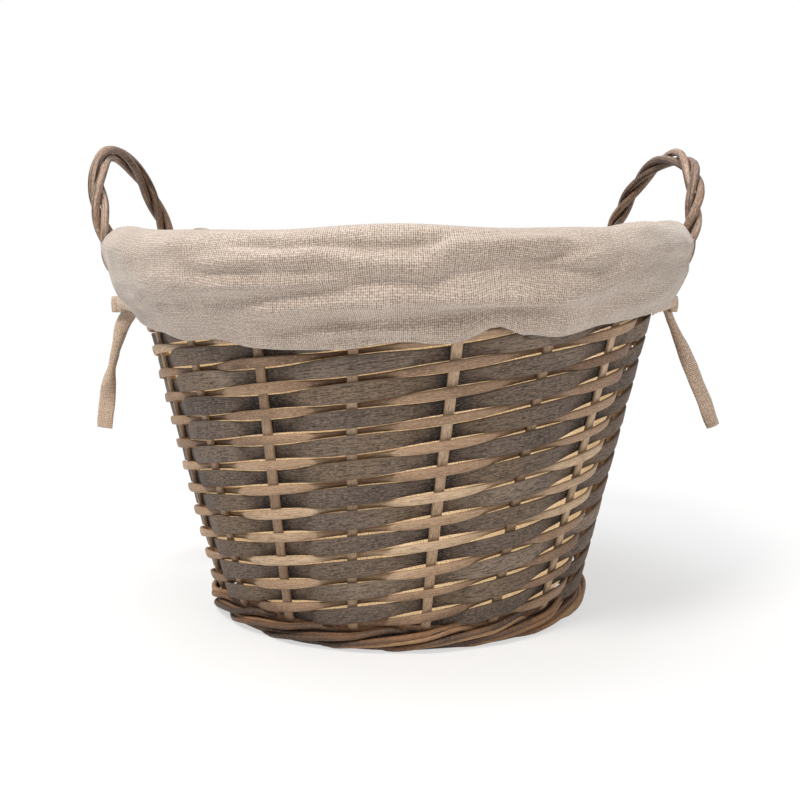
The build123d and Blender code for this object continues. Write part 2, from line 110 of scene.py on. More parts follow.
def straight_stock(steps, sides):
    """Closed round bar along X from 0 to 1, of radius 1."""
    bm = bmesh.new()
    bmesh.ops.create_circle(bm, radius=1.0, segments=sides)
    bmesh.ops.rotate(bm, verts=bm.verts, cent=(0, 0, 0), matrix=Matrix.Rotation(math.pi / 2, 3, "Y"))
    ring = bm.verts[:] + bm.edges[:]
    ahead = (1 / steps, 0, 0)
    bmesh.ops.spin(bm, geom=ring, cent=(0, 0, 0), axis=(1, 0, 0), dvec=ahead, angle=0, steps=steps)
    bmesh.ops.holes_fill(bm, edges=[edge for edge in bm.edges if edge.is_boundary])
    bmesh.ops.recalc_face_normals(bm, faces=bm.faces)
    return bm


def bend_stock(bm, length, girth, seed, place, spread=0.5, shade=None):
    """Lay the grain on straight stock, and carry its points to their places.

    spread is how far the tone wanders from rod to rod, and shade is painted shade that darkens the rod along
    its length.
    """
    grain = bm.loops.layers.uv.new("grain")
    tone = bm.verts.layers.float.new("tone")
    for face in bm.faces:
        turns = [math.atan2(loop.vert.co.z, loop.vert.co.y) for loop in face.loops]
        for loop, turn in zip(face.loops, turns):
            turn += 2 * math.pi if turn < max(turns) - math.pi else 0
            loop[grain].uv = (seed * GRAIN_SHIFT + loop.vert.co.x * length, girth * turn / (2 * math.pi))
    own = drift(seed, OWN_TONE_PLACE, spread)
    for vert in bm.verts:
        wave = drift(seed + 0.5, vert.co.x * length * TONE_WAVES, spread * TONE_WAVE_SHARE)
        vert[tone] = MIDDLE_TONE + own + wave
        if shade:
            vert[tone] -= shade(vert.co.x)
        vert.co = place(*vert.co)


def join(bm, part):
    """Add a second bmesh to the first."""
    mesh = bpy.data.meshes.new("part")
    part.to_mesh(mesh)
    part.free()
    bm.from_mesh(mesh)
    bpy.data.meshes.remove(mesh)


def squared(x, power):
    """Pull a circle's coordinate out towards a rounded square."""
    return math.copysign(abs(x) ** power, x)


pieces = {}


def finish_piece(bm, name, finish, slot, *nodes):
    """Make a mesh object, and tell the frame what it rides on, which nodes it stands for, and its finish."""
    mesh = bpy.data.meshes.new(name)
    for face in bm.faces:
        face.smooth = True
    bm.to_mesh(mesh)
    bm.free()
    mesh.materials.append(finish)
    piece = bpy.data.objects.new(name, mesh)
    bpy.context.scene.collection.objects.link(piece)
    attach(piece, "root")
    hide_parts(*nodes)
    pieces[name] = piece
    return piece


# %% [markdown]
# ## A smooth route
# Stakes, handles and ribbons follow a few points. A centripetal Catmull-Rom curve passes through all of
# them without overshooting at the short chamfers, and it is measured so that a share of the length gives
# a place.

# %% Route through points
class Route:
    def __init__(self, points, dense=10):
        ends = [points[0] * 2 - points[1], *points, points[-1] * 2 - points[-2]]
        self.points = [points[0]]
        for a, b, c, d in zip(ends, ends[1:], ends[2:], ends[3:]):
            ta = 0.0
            tb = ta + (b - a).length ** 0.5
            tc = tb + (c - b).length ** 0.5
            td = tc + (d - c).length ** 0.5
            for k in range(1, dense + 1):
                t = tb + (tc - tb) * k / dense
                ab = a.lerp(b, (t - ta) / (tb - ta))
                bc = b.lerp(c, (t - tb) / (tc - tb))
                cd = c.lerp(d, (t - tc) / (td - tc))
                left = ab.lerp(bc, (t - ta) / (tc - ta))
                right = bc.lerp(cd, (t - tb) / (td - tb))
                self.points.append(left.lerp(right, (t - tb) / (tc - tb)))
        self.marks = [0.0]
        for a, b in zip(self.points, self.points[1:]):
            self.marks.append(self.marks[-1] + (b - a).length)
        self.length = self.marks[-1]
        self.known = {}

    def at(self, share):
        """Place at a share of the length."""
        if share not in self.known:
            self.known[share] = self.find(share)
        return self.known[share]

    def find(self, share):
        mark = min(max(share, 0.0), 1.0) * self.length
        low, high = 0, len(self.marks) - 1
        while high - low > 1:
            half = (low + high) // 2
            low, high = (half, high) if self.marks[half] <= mark else (low, half)
        part = (mark - self.marks[low]) / (self.marks[high] - self.marks[low])
        return self.points[low].lerp(self.points[high], part)

    def run(self, share, reach=0.004):
        """Direction at a share of the length."""
        step = reach / self.length
        return (self.at(share + step) - self.at(share - step)).normalized()


# %% [markdown]
# ## Writing finishes as sums
# A finish is a node tree, and most of its nodes are plain arithmetic. Number wraps one socket, so that an
# expression such as 1 - mask adds the Math nodes by itself. Finish makes every other node with one
# method.

# %% Numbers and finishes
def seen(red, green, blue):
    """Colour as it looks on the screen, 0 to 255, turned into the linear light that a shader works with."""
    shares = [c / 255 for c in (red, green, blue)]
    return (*[s / 12.92 if s < 0.04045 else ((s + 0.055) / 1.055) ** 2.4 for s in shares], 1.0)


class Number:
    def __init__(self, finish, socket):
        self.finish = finish
        self.socket = socket

    def math(self, operation, first, second=0.0):
        return self.finish.node("ShaderNodeMath", {"operation": operation}, {0: first, 1: second})

    def __add__(self, other):
        return self.math("ADD", self, other)

    def __radd__(self, other):
        return self.math("ADD", other, self)

    def __sub__(self, other):
        return self.math("SUBTRACT", self, other)

    def __rsub__(self, other):
        return self.math("SUBTRACT", other, self)

    def __mul__(self, other):
        return self.math("MULTIPLY", self, other)

    def __rmul__(self, other):
        return self.math("MULTIPLY", other, self)

    def sine(self):
        return self.math("SINE", self)

    def step(self, low, high):
        """0 below low, 1 above high, and a soft step between."""
        limits = {"From Min": low, "From Max": high, "Value": self}
        return self.finish.node("ShaderNodeMapRange", {"interpolation_type": "SMOOTHSTEP"}, limits)


class Finish:
    def __init__(self, tree):
        self.tree = tree

    def node(self, kind, settings, sockets, output=0):
        """Add a node, set it up, and feed its sockets with values or with other nodes' numbers."""
        made = self.tree.nodes.new(kind)
        for key, value in settings.items():
            setattr(made, key, value)
        for key, value in sockets.items():
            self.feed(made.inputs[key], value)
        return Number(self, made.outputs[output])

    def feed(self, socket, value):
        if isinstance(value, Number):
            self.tree.links.new(value.socket, socket)
        else:
            socket.default_value = value

    def mix(self, share, first, second, blend="MIX"):
        """Mix two colours."""
        settings = {"data_type": "RGBA", "blend_type": blend}
        return self.node("ShaderNodeMix", settings, {0: share, 6: first, 7: second}, 2)

    def spots(self, vector, scale, detail=2.0):
        """Soft noise between 0 and 1."""
        return self.node("ShaderNodeTexNoise", {}, {"Vector": vector, "Scale": scale, "Detail": detail})


def new_finish(name):
    """Material with a Principled shader, and the finish that builds its nodes."""
    material = bpy.data.materials.new(name)
    material.use_nodes = True
    return material, Finish(material.node_tree), material.node_tree.nodes["Principled BSDF"]


# %% [markdown]
# ## Willow finishes
# Peeled and split willow has long fibres, slow changes of colour along the rod, dark specks where buds
# sat, and small knots. Each is a noise that is stretched along the grain. One recipe serves the dark grey
# strips, the tan rods, the pale split stakes, the golden foot and the browner handles, because only the
# colours and the strength of each mark differ.

# %% Willow recipe
# Marks in a metre of the rod, along it and round it.
SLOW_MARKS = (28, 90)
FIBRE_MARKS = (120, 1900)
FINE_MARKS = (420, 2700)
SPECK_MARKS = (330, 900)
BUD_MARKS = (21, 70)
SPLIT_MARKS = (20, 520)
LOT_MARKS = (8, 1)
SPECK_SHADE = 0.35
KNOT_SHADE = 0.3
FIBRE_DEPTH = 0.0006


def darker(colour, share):
    """The same colour with only a share of its light."""
    return [c * share for c in colour[:3]] + [1.0]


def willow(name, dark, body, other, pale, streaks, specks, knots, rough, splits=0.0):
    """Finish from four colours; streaks, specks, knots and splits say how strongly each mark shows."""
    material, finish, shader = new_finish(name)
    grain = finish.node("ShaderNodeUVMap", {"uv_map": "grain"}, {})
    tone = finish.node("ShaderNodeAttribute", {"attribute_name": "tone"}, {}, 2)

    def stretched(marks):
        return finish.node("ShaderNodeMapping", {}, {"Vector": grain, "Scale": (*marks, 1.0)})

    slow = finish.spots(stretched(SLOW_MARKS), 1.0, 3.0)
    fibre = finish.spots(stretched(FIBRE_MARKS), 1.0, 3.0)
    fine = finish.spots(stretched(FINE_MARKS), 1.0, 2.0)
    speck = finish.spots(stretched(SPECK_MARKS), 1.0, 1.0).step(0.66, 0.74)
    bud = finish.node("ShaderNodeTexVoronoi", {}, {"Vector": stretched(BUD_MARKS), "Scale": 1.0})
    knot = 1 - bud.step(0.05, 0.13)
    split = (1 - finish.spots(stretched(SPLIT_MARKS), 1.0, 2.0).step(0.36, 0.47)) * splits
    light = tone * 0.75 + slow * 0.75 - 0.25
    lot = finish.spots(stretched(LOT_MARKS), 1.0, 1.0).step(0.38, 0.62)
    colour = finish.mix(light.step(0.0, 0.5), dark, finish.mix(lot, body, other))
    colour = finish.mix(light.step(0.5, 0.95), colour, pale)
    colour = finish.mix((1 - fibre.step(0.3, 0.6)) * streaks, colour, dark)
    colour = finish.mix(fine.step(0.5, 0.68) * 0.6 * streaks, colour, pale)
    colour = finish.mix((1 - fine.step(0.32, 0.5)) * 0.7 * streaks, colour, dark)
    colour = finish.mix(split, colour, dark)
    colour = finish.mix(speck * specks, colour, darker(dark, SPECK_SHADE))
    colour = finish.mix(knot * knots, colour, darker(dark, KNOT_SHADE))
    finish.feed(shader.inputs["Base Color"], colour)
    finish.feed(shader.inputs["Roughness"], rough + 0.2 * (fibre - 0.5))
    height = fibre * 0.7 + fine * 0.3 - speck * 0.4 * specks - knot * 0.8 * knots - split * 0.9
    bump = finish.node("ShaderNodeBump", {}, {"Height": height, "Strength": 0.55, "Distance": FIBRE_DEPTH})
    finish.feed(shader.inputs["Normal"], bump)
    return material


GREY = willow(
    "grey_willow",
    dark=seen(32, 23, 18),
    body=seen(101, 86, 77),
    other=seen(113, 94, 75),
    pale=seen(140, 123, 107),
    streaks=0.8,
    specks=0.4,
    knots=0.0,
    rough=0.8,
)
NATURAL = willow(
    "natural_willow",
    dark=seen(96, 69, 49),
    body=seen(168, 139, 110),
    other=seen(155, 126, 100),
    pale=seen(198, 172, 142),
    streaks=0.6,
    specks=0.4,
    knots=0.6,
    rough=0.62,
)
SPLIT = willow(
    "split_willow",
    dark=seen(116, 90, 68),
    body=seen(180, 154, 126),
    other=seen(168, 140, 113),
    pale=seen(204, 180, 152),
    streaks=0.65,
    specks=0.25,
    knots=0.3,
    rough=0.68,
)
FOOT = willow(
    "foot_willow",
    dark=seen(34, 20, 12),
    body=seen(144, 103, 68),
    other=seen(114, 79, 52),
    pale=seen(182, 144, 105),
    streaks=0.65,
    specks=0.5,
    knots=0.8,
    rough=0.62,
)
EAR = willow(
    "handle_willow",
    dark=seen(56, 37, 26),
    body=seen(148, 118, 95),
    other=seen(122, 93, 73),
    pale=seen(202, 179, 160),
    streaks=0.7,
    specks=0.4,
    knots=0.5,
    rough=0.55,
    splits=0.85,
)
print("willow finishes:", GREY.name, NATURAL.name, SPLIT.name, FOOT.name, EAR.name)

# %% [markdown]
# ## Linen
# The cloth is a coarse plain weave. Two sine waves across each other give the over and under of the
# threads, and noise that is stretched along either thread gives the slubs, where the spun flax is
# thicker. The pattern runs on the cloth's own flat coordinates in metres, so it bends and stretches with
# each fold.

# %% Linen recipe
THREAD = 0.00127
THREADS = 1 / THREAD
SLUBS = 45
CLOUDS = 22.0
WANDERS = 130.0
WANDER = 3.0
GLOW = 1.35
GLOW_FADE = (0.195, 0.22)
THREAD_DEPTH = 0.0004


def linen(name, shade, body, pale, through=None):
    """Finish from three colours. through is the daylight that comes through the cloth of the bag.

    It is painted glow that shows on the outside only, and below the heights of GLOW_FADE, where the bag
    stands behind the weave.
    """
    material, finish, shader = new_finish(name)
    flat = finish.node("ShaderNodeUVMap", {"uv_map": "grain"}, {})
    across = finish.node("ShaderNodeSeparateXYZ", {}, {0: flat})
    along = finish.node("ShaderNodeSeparateXYZ", {}, {0: flat}, 1)

    def stretched(x, y):
        return finish.node("ShaderNodeMapping", {}, {"Vector": flat, "Scale": (x, y, 1.0)})

    wander = finish.spots(flat, WANDERS, 2.0) * WANDER
    warp = (across * (2 * math.pi / THREAD) + wander).sine()
    weft = (along * (2 * math.pi / THREAD) - wander).sine()
    over = warp * 0.5 + 0.5
    under = weft * 0.35 + 0.4
    cross = over + under - over * under
    slub = finish.spots(stretched(THREADS, SLUBS), 1.0, 1.0).step(0.35, 0.75)
    fleck = finish.spots(stretched(SLUBS, THREADS), 1.0, 1.0).step(0.35, 0.75)
    cloud = finish.spots(flat, CLOUDS, 3.0)
    lint = finish.spots(flat, THREADS, 1.0).step(0.3, 0.7)
    light = cross * 0.6 + lint * 0.3 + slub * 0.1 + fleck * 0.1 + cloud * 0.2 - 0.2
    colour = finish.mix(light.step(0.05, 0.55), shade, body)
    colour = finish.mix(light.step(0.45, 0.95), colour, pale)
    finish.feed(shader.inputs["Base Color"], colour)
    if through:
        place = finish.node("ShaderNodeTexCoord", {}, {}, "Object")
        normal = finish.node("ShaderNodeNewGeometry", {}, {}, "Normal")
        level = finish.node("ShaderNodeVectorMath", {"operation": "MULTIPLY"}, {0: place, 1: (1, 1, 0)})
        looks_out = {0: level, 1: normal}
        outside = finish.node("ShaderNodeVectorMath", {"operation": "DOT_PRODUCT"}, looks_out, "Value")
        woven = 1 - finish.node("ShaderNodeSeparateXYZ", {}, {0: place}, 2).step(*GLOW_FADE)
        # Painted glow: the cloth's colour is given out as light on the bag's outside.
        glow = finish.mix(1.0, colour, through, "MULTIPLY")
        glow = finish.mix(outside.step(0.0, 0.05) * woven, (0, 0, 0, 1), glow)
        finish.feed(shader.inputs["Emission Color"], glow)
        shader.inputs["Emission Strength"].default_value = GLOW
    finish.feed(shader.inputs["Roughness"], 0.86 + 0.1 * (slub - 0.5))
    shader.inputs["Sheen Weight"].default_value = 0.3
    height = cross * 0.6 + lint * 0.5 + slub * 0.3 + fleck * 0.3
    bump = finish.node("ShaderNodeBump", {}, {"Height": height, "Strength": 0.5, "Distance": THREAD_DEPTH})
    finish.feed(shader.inputs["Normal"], bump)
    return material


LINEN = linen("linen", shade=seen(84, 69, 58), body=seen(163, 147, 133), pale=seen(204, 192, 183))
# The bag wall is a lighter copy of the same linen, with painted glow on its outside: painted light on the
# cloth behind the weave.
LINEN_BAG = linen(
    "linen_bag",
    shade=seen(100, 86, 73),
    body=seen(176, 161, 146),
    pale=seen(214, 203, 193),
    through=seen(250, 228, 184),
)
LINEN_TIE = linen("linen_tie", shade=seen(124, 102, 84), body=seen(180, 156, 135), pale=seen(208, 188, 169))
print("linen finishes:", LINEN.name, LINEN_BAG.name, LINEN_TIE.name)

# %% [markdown]
# ## Weavers
# Each strip starts behind its own stake at the foot and climbs one row for every stake, in front of one
# stake and behind the next. Grey strips and natural rods take turns, so each stake shows either grey or
# natural in front all the way up. A cosine gives the swing in and out; it is flattened where the strip
# bears on a stake. The strip is tall in front and narrows behind, where the next one is beaten down over
# it.

# %% Weave the strips
STAKE_WIDTH = 0.0065
STAKE_THICKNESS = 0.0028
LEVEL_STEP = 0.0081
FIRST_LEVEL = 0.0166
STROKES = 26
TIP_TAIL = 0.22
STEPS_PER_STROKE = 10
MIDDLE_OUT = 0.0004
START_FULL = 0.85
END_FULL = 0.25
TIP_SWELL = 0.6
TIP_LIFT = 0.0012
FRONT_RISE = 0.0011
LEVEL_WANDER = 0.0005
TWIST = 0.0005
WILLOW_SPREAD = 0.5
# tuck is how strongly shade is painted on each weaver where it passes behind a stake.
GREY_STRIP = {
    "thickness": 0.0018,
    "front": 0.0121,
    "behind": 0.0088,
    "power": 0.3,
    "uneven": 0.07,
    "tuck": 0.8,
}
NATURAL_ROD = {
    "thickness": 0.0026,
    "front": 0.0062,
    "behind": 0.0033,
    "power": 0.6,
    "uneven": 0.12,
    "tuck": 0.05,
}


def weaver(first, thickness, front, behind, power, uneven, tuck):
    """One strip, from behind the stake it starts at; front and behind are its heights there.

    power squares its section off, uneven is how far its height wanders, and tuck is painted shade behind
    stakes.
    """
    bare = (STAKE_THICKNESS + thickness) / 2 + CLEARANCE
    bm = straight_stock(STROKES * STEPS_PER_STROKE, 12)

    def stroke(t):
        return t * (STROKES + 2 * TIP_TAIL) - TIP_TAIL

    def place(t, y, z):
        n = stroke(t)
        swing = -math.cos(math.pi * n)
        swing *= 1.5 - 0.5 * swing * swing
        end = min(n + TIP_TAIL, STROKES + TIP_TAIL - n)
        tip = min(1.0, (START_FULL if n < STROKES / 2 else END_FULL) + end * TIP_SWELL)
        height = ((front + behind) / 2 + (front - behind) / 2 * swing) * tip
        height *= 1 + drift(first, n * 0.9, uneven)
        level = FIRST_LEVEL + LEVEL_STEP * n + drift(first + 40, n * 0.6, LEVEL_WANDER)
        level += TIP_LIFT * (1 - tip) * (1 if n < STROKES / 2 else -1) + FRONT_RISE * swing
        twist = drift(first + 80, n * 0.8, TWIST)
        out = swing * (bare + MIDDLE_OUT) + MIDDLE_OUT + twist * z
        round_y, round_z = squared(y, power), squared(z, power)
        return on_side(first + n, level + height / 2 * round_z, out + thickness / 2 * round_y)

    # Painted shade: the tone is lowered where the strip passes behind a stake, in the stake's shadow.
    def painted_shade_behind_stakes(t):
        return tuck * max(0.0, math.cos(math.pi * stroke(t))) ** 6

    length = STROKES * math.radians(STEP_ANGLE) * (BASE_RADIUS + RIM_RADIUS) / 2
    bend_stock(bm, length, 2 * (front + thickness), first, place, WILLOW_SPREAD, painted_shade_behind_stakes)
    return bm


for k in range(STAKES // 2):
    number = f"{k + 1:02d}"
    strip = weaver(2 * k, **GREY_STRIP)
    finish_piece(strip, f"grey_strip_{number}", GREY, "grey_willow_strip", f"grey_weaver_{number}")
    rod = weaver(2 * k + 1, **NATURAL_ROD)
    finish_piece(rod, f"natural_rod_{number}", NATURAL, "natural_willow_rod", f"natural_weaver_{number}")
print("weavers:", len(pieces))

# %% [markdown]
# ## Wales at the foot and the rim
# Three rods are woven together, each over two stakes and behind one, so the foot and the rim look like a
# rope laid along the edge. One cycle of out and rise values describes the stroke, and a smooth curve
# joins them. At the foot thin willow is used in pairs, so each rod there is drawn as two slim ones that
# wind round each other, and a thin rod is packed in behind them.

# %% Where the wales lie
FOOT_ROD = 0.0056
RIM_ROD = 0.0066
FLAT_DEPTH = 0.0005
HEX_FLAT = math.cos(math.pi / 6)


def seat_slope(offset, z, share):
    return offset / (math.radians(STEP_ANGLE) * cone_radius(z) * share) * STAKE_WIDTH / 2


def wale_offset(diameter, z):
    bare = STAKE_THICKNESS / 2 + HEX_FLAT * diameter / 2 + CLEARANCE
    return bare + seat_slope(bare, z, 0.5) + math.tan(math.radians(5)) * STAKE_WIDTH / 2


def wale_reach(diameter, z):
    return wale_offset(diameter, z) + HEX_FLAT * diameter / 2


FOOT_MIDDLE = FOOT_ROD + CLEARANCE + FOOT_ROD / 2 - FLAT_DEPTH
RIM_MIDDLE = HEIGHT - RIM_ROD - CLEARANCE - RIM_ROD / 2
print("wales in the middle at", round(FOOT_MIDDLE, 4), "and", round(RIM_MIDDLE, 4))

# %% Lay the wales
WALE_END_GAP = 0.06
FLOOR_GAP = 0.0002
SLIM_WIND = 0.45
SLIM_WANDER = 0.9


def smooth_cycle(values, n):
    """Value between the steps of a stroke that repeats."""
    k = math.floor(n)
    t = n - k
    a, b, c, d = [values[(k + i) % len(values)] for i in (-1, 0, 1, 2)]
    return b + 0.5 * t * (c - a + t * (2 * a - 5 * b + 4 * c - d + t * (3 * (b - c) + d - a)))


def wale_rod(bm, first, diameter, middle, seed, fullness, lift, slim=1.0, aside=0.0, spin=0.0):
    """Add one rod of a wale, of fullness times the plain thickness. lift raises it in front of the stakes.

    A slim rod takes that share of the thickness. It lies a share aside of the middle, and winds round it.
    """
    offset = wale_offset(diameter, middle)
    lay = (diameter + CLEARANCE) * (1 + (fullness - 1) * 0.7)
    outs = [-offset, 0.0, offset, offset, offset, 0.0]
    rises = [0.0, -lay, lift - lay / 2, lift, lift + lay / 2, lay]
    rod = straight_stock(STAKES * 12, 10)

    def place(t, y, z):
        u = WALE_END_GAP + t * (STAKES - 2 * WALE_END_GAP)
        radius = diameter / 2 * (fullness + drift(seed, u * 0.8, 0.09))
        turn = spin + SLIM_WIND * u + drift(seed, u * 0.7, SLIM_WANDER)
        out = smooth_cycle(outs, 2 * u) + radius * (aside * math.cos(turn) + slim * y)
        level = middle + smooth_cycle(rises, 2 * u) + radius * (aside * math.sin(turn) + slim * z)
        point = on_side(first + u, level, out)
        point.z = max(point.z, FLOOR_GAP)
        return point

    bend_stock(rod, 2 * math.pi * cone_radius(middle), math.pi * diameter, seed, place, WILLOW_SPREAD)
    join(bm, rod)


# Painted shade: the packing rod's tone is lowered by this much, as it lies in shadow behind the foot wale.
PACKING_PAINTED_SHADE = 0.35


def packing(bm, level, out, radius, seed):
    """Add a thin rod laid in behind the foot wale, where it would gape."""
    rod = straight_stock(STAKES * 8, 10)

    def place(t, y, z):
        girth = radius * (1 + drift(seed, t * 30, 0.12))
        height = level + drift(seed + 1, t * 25, 0.0006) + girth * z
        point = on_side(t * (STAKES - 0.1), height, out + girth * y)
        point.z = max(point.z, 2 * FLOOR_GAP)
        return point

    length = 2 * math.pi * cone_radius(level)
    bend_stock(rod, length, 2 * math.pi * radius, seed, place, WILLOW_SPREAD, lambda t: PACKING_PAINTED_SHADE)
    join(bm, rod)


WALE_RODS = 3
FOOT_RAISE = 0.0004
FOOT_WALE = {"fullness": 1.12, "lift": 0.0011, "slim": 0.62, "aside": 0.52}
RIM_WALE = {"fullness": 0.97, "lift": 0.0}
SLIM_SEED_STEP = 0.37
PACKING_RADIUS = 0.0029
PACKING_STEP = 0.0052
PACKING_IN = 0.0004
PACKING_SLANT = 0.0012

for j in range(WALE_RODS):
    foot = bmesh.new()
    for n in range(2):
        seed = 21 + j + SLIM_SEED_STEP * n
        wale_rod(foot, j, FOOT_ROD, FOOT_MIDDLE + FOOT_RAISE, seed, spin=math.pi * (n + 0.5), **FOOT_WALE)
    packing_out = -PACKING_IN - PACKING_SLANT * j
    packing(foot, FOOT_MIDDLE + PACKING_STEP * (j - 1), packing_out, PACKING_RADIUS, 26 + j)
    finish_piece(foot, f"foot_rod_{j + 1}", FOOT, "natural_willow_rod", f"foot_wale_rod_{j + 1}")
    rim = bmesh.new()
    wale_rod(rim, j, RIM_ROD, RIM_MIDDLE, 31 + j, **RIM_WALE)
    finish_piece(rim, f"rim_rod_{j + 1}", NATURAL, "natural_willow_rod", f"rim_wale_rod_{j + 1}")
print("with wales:", len(pieces))

# %% [markdown]
# ## Stakes
# A stake is a flat split rod. Its foot is turned in over the base, it leans up the side, and its top is
# turned in over the rim rods. Its route has ten points, and the section is a rounded rectangle that keeps
# its flat face outwards.

# %% Set up the stakes
TONGUE_LENGTH = 0.030
BEND_CHAMFER = 0.0025
TIP_MARGIN = 0.0013
LINER_GAP = 0.0004
BEND_RUN = 0.02
FLAT_POWER = 0.35
STAKE_SWAY = 0.0006
tongue_low, tongue_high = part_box("stake_01")
TONGUE_MIDDLE = tongue_low[2] + STAKE_THICKNESS / 2
HOOK_LEVEL = tongue_high[2] - STAKE_THICKNESS / 2
LINER_REACH = wale_reach(RIM_ROD, RIM_MIDDLE) + LINER_GAP


def stake(number):
    inner = cone_radius(TONGUE_MIDDLE) - TONGUE_LENGTH
    points = [
        on_side(number, TONGUE_MIDDLE, inner - cone_radius(TONGUE_MIDDLE)),
        on_side(number, TONGUE_MIDDLE, -2.5 * BEND_CHAMFER),
        on_side(number, TONGUE_MIDDLE, -BEND_CHAMFER),
        on_side(number, TONGUE_MIDDLE + BEND_CHAMFER),
        on_side(number, TONGUE_MIDDLE + BEND_RUN),
        on_side(number, HEIGHT / 2),
        on_side(number, HOOK_LEVEL - BEND_RUN),
        on_side(number, HOOK_LEVEL - BEND_CHAMFER),
        on_side(number, HOOK_LEVEL, -BEND_CHAMFER),
        on_side(number, HOOK_LEVEL, TIP_MARGIN - LINER_REACH),
    ]
    for point in points[:3]:
        point.z = TONGUE_MIDDLE
    route = Route(points)
    bm = straight_stock(110, 12)

    def place(t, y, z):
        centre = route.at(t)
        angle = math.atan2(centre.y, centre.x)
        across = Vector((-math.sin(angle), math.cos(angle), 0))
        face = across.cross(route.run(t)).normalized()
        width = STAKE_WIDTH * (1 + drift(number + 50, t * 6, 0.08))
        sway = drift(number + 60, t * 4, STAKE_SWAY)
        flat = squared(z, FLAT_POWER) * width / 2 + sway
        return centre + across * flat + face * (squared(y, FLAT_POWER) * STAKE_THICKNESS / 2)

    bend_stock(bm, route.length, 2 * (STAKE_WIDTH + STAKE_THICKNESS), number + 50, place, 0.35)
    bmesh.ops.recalc_face_normals(bm, faces=bm.faces)
    return bm


for i in range(STAKES):
    number = f"{i + 1:02d}"
    finish_piece(stake(i), f"split_stake_{number}", SPLIT, "split_willow_stake", f"stake_{number}")
print("with stakes:", len(pieces))

# %% [markdown]
# ## Base
# Five sticks are slit in the middle and four are pushed through them. The nine then fan out to the
# stakes, and two flat strips are wound round them, over one and under the next. Most of it is hidden, but
# it shows from below.

# %% Lay the base sticks
STICK_DIAMETER = 0.0055
STICK_PITCH = 0.0064
THREADED_THICKNESS = 0.0024
FAN_RADIUS = 0.036
PARED_FROM = 0.014
PARED_FADE = 0.012
PIERCED = 5
BASE_TURN = -STAKE_LEAN / 2
stick_low, stick_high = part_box("base_sticks_pierced")
STICK_MIDDLE = (stick_low[2] + stick_high[2]) / 2
STICK_TOP = stick_high[2]
STICK_REACH = cone_radius(FOOT_MIDDLE) - wale_reach(FOOT_ROD, FOOT_MIDDLE) - 2 * CLEARANCE


def base_stick(bm, place_in_fan, turn, pared, seed):
    ray = math.radians(place_in_fan * STEP_ANGLE)
    half = [Vector((r * math.cos(ray), r * math.sin(ray), STICK_MIDDLE)) for r in (STICK_REACH, FAN_RADIUS)]
    half.append(Vector((3 * STICK_PITCH, place_in_fan * STICK_PITCH, STICK_MIDDLE)))
    route = Route([*half, *[Vector((-p.x, p.y, p.z)) for p in reversed(half)]])
    turned = Matrix.Rotation(math.radians(turn), 3, "Z")
    stick = straight_stock(70, 10)

    def place(t, y, z):
        centre = route.at(t)
        across = route.run(t).cross(Vector((0, 0, 1))).normalized()
        radius = STICK_DIAMETER / 2 * (0.98 + drift(seed, t * 7, 0.05))
        near = 1 - min(1.0, max(0.0, (abs(centre.x) - PARED_FROM) / PARED_FADE))
        thick = radius * (1 + near * (pared / STICK_DIAMETER - 1))
        return turned @ (centre + across * (y * radius) + Vector((0, 0, z * thick)))

    bend_stock(stick, route.length, math.pi * STICK_DIAMETER, seed, place, 0.7)
    join(bm, stick)


def stick_fan(count, turn, pared, seed):
    bm = bmesh.new()
    for k in range(count):
        base_stick(bm, k - (count - 1) / 2, turn, pared, seed + k)
    bmesh.ops.recalc_face_normals(bm, faces=bm.faces)
    return bm


fan = stick_fan(PIERCED, BASE_TURN, STICK_DIAMETER, 60)
finish_piece(fan, "slit_base_sticks", NATURAL, "natural_willow_rod", "base_sticks_pierced")
fan = stick_fan(STAKES // 2 - PIERCED, BASE_TURN + 90, THREADED_THICKNESS, 70)
finish_piece(fan, "pushed_base_sticks", NATURAL, "natural_willow_rod", "base_sticks_threaded")
print("with base sticks:", len(pieces))

# %% Wind the base strips
BASE_STRIP_WIDTH = 0.009
BASE_STRIP_THICKNESS = 0.002
BASE_STRIP_PITCH = 0.0096
BASE_WEAVE_START = 0.043
MEAN_WIND_RADIUS = 0.08
FOOT_INSIDE = cone_radius(FOOT_MIDDLE) - wale_reach(FOOT_ROD, FOOT_MIDDLE)
TONGUE_TOP = TONGUE_MIDDLE + STAKE_THICKNESS / 2
TONGUE_TIP = cone_radius(TONGUE_MIDDLE) - TONGUE_LENGTH


def strip_stand(r, on_tongue):
    steep = (TONGUE_TOP - STICK_MIDDLE) * (STAKE_WIDTH if on_tongue else STICK_DIAMETER / 2)
    return BASE_STRIP_THICKNESS / 2 + CLEARANCE + steep / (math.radians(STEP_ANGLE) * r)


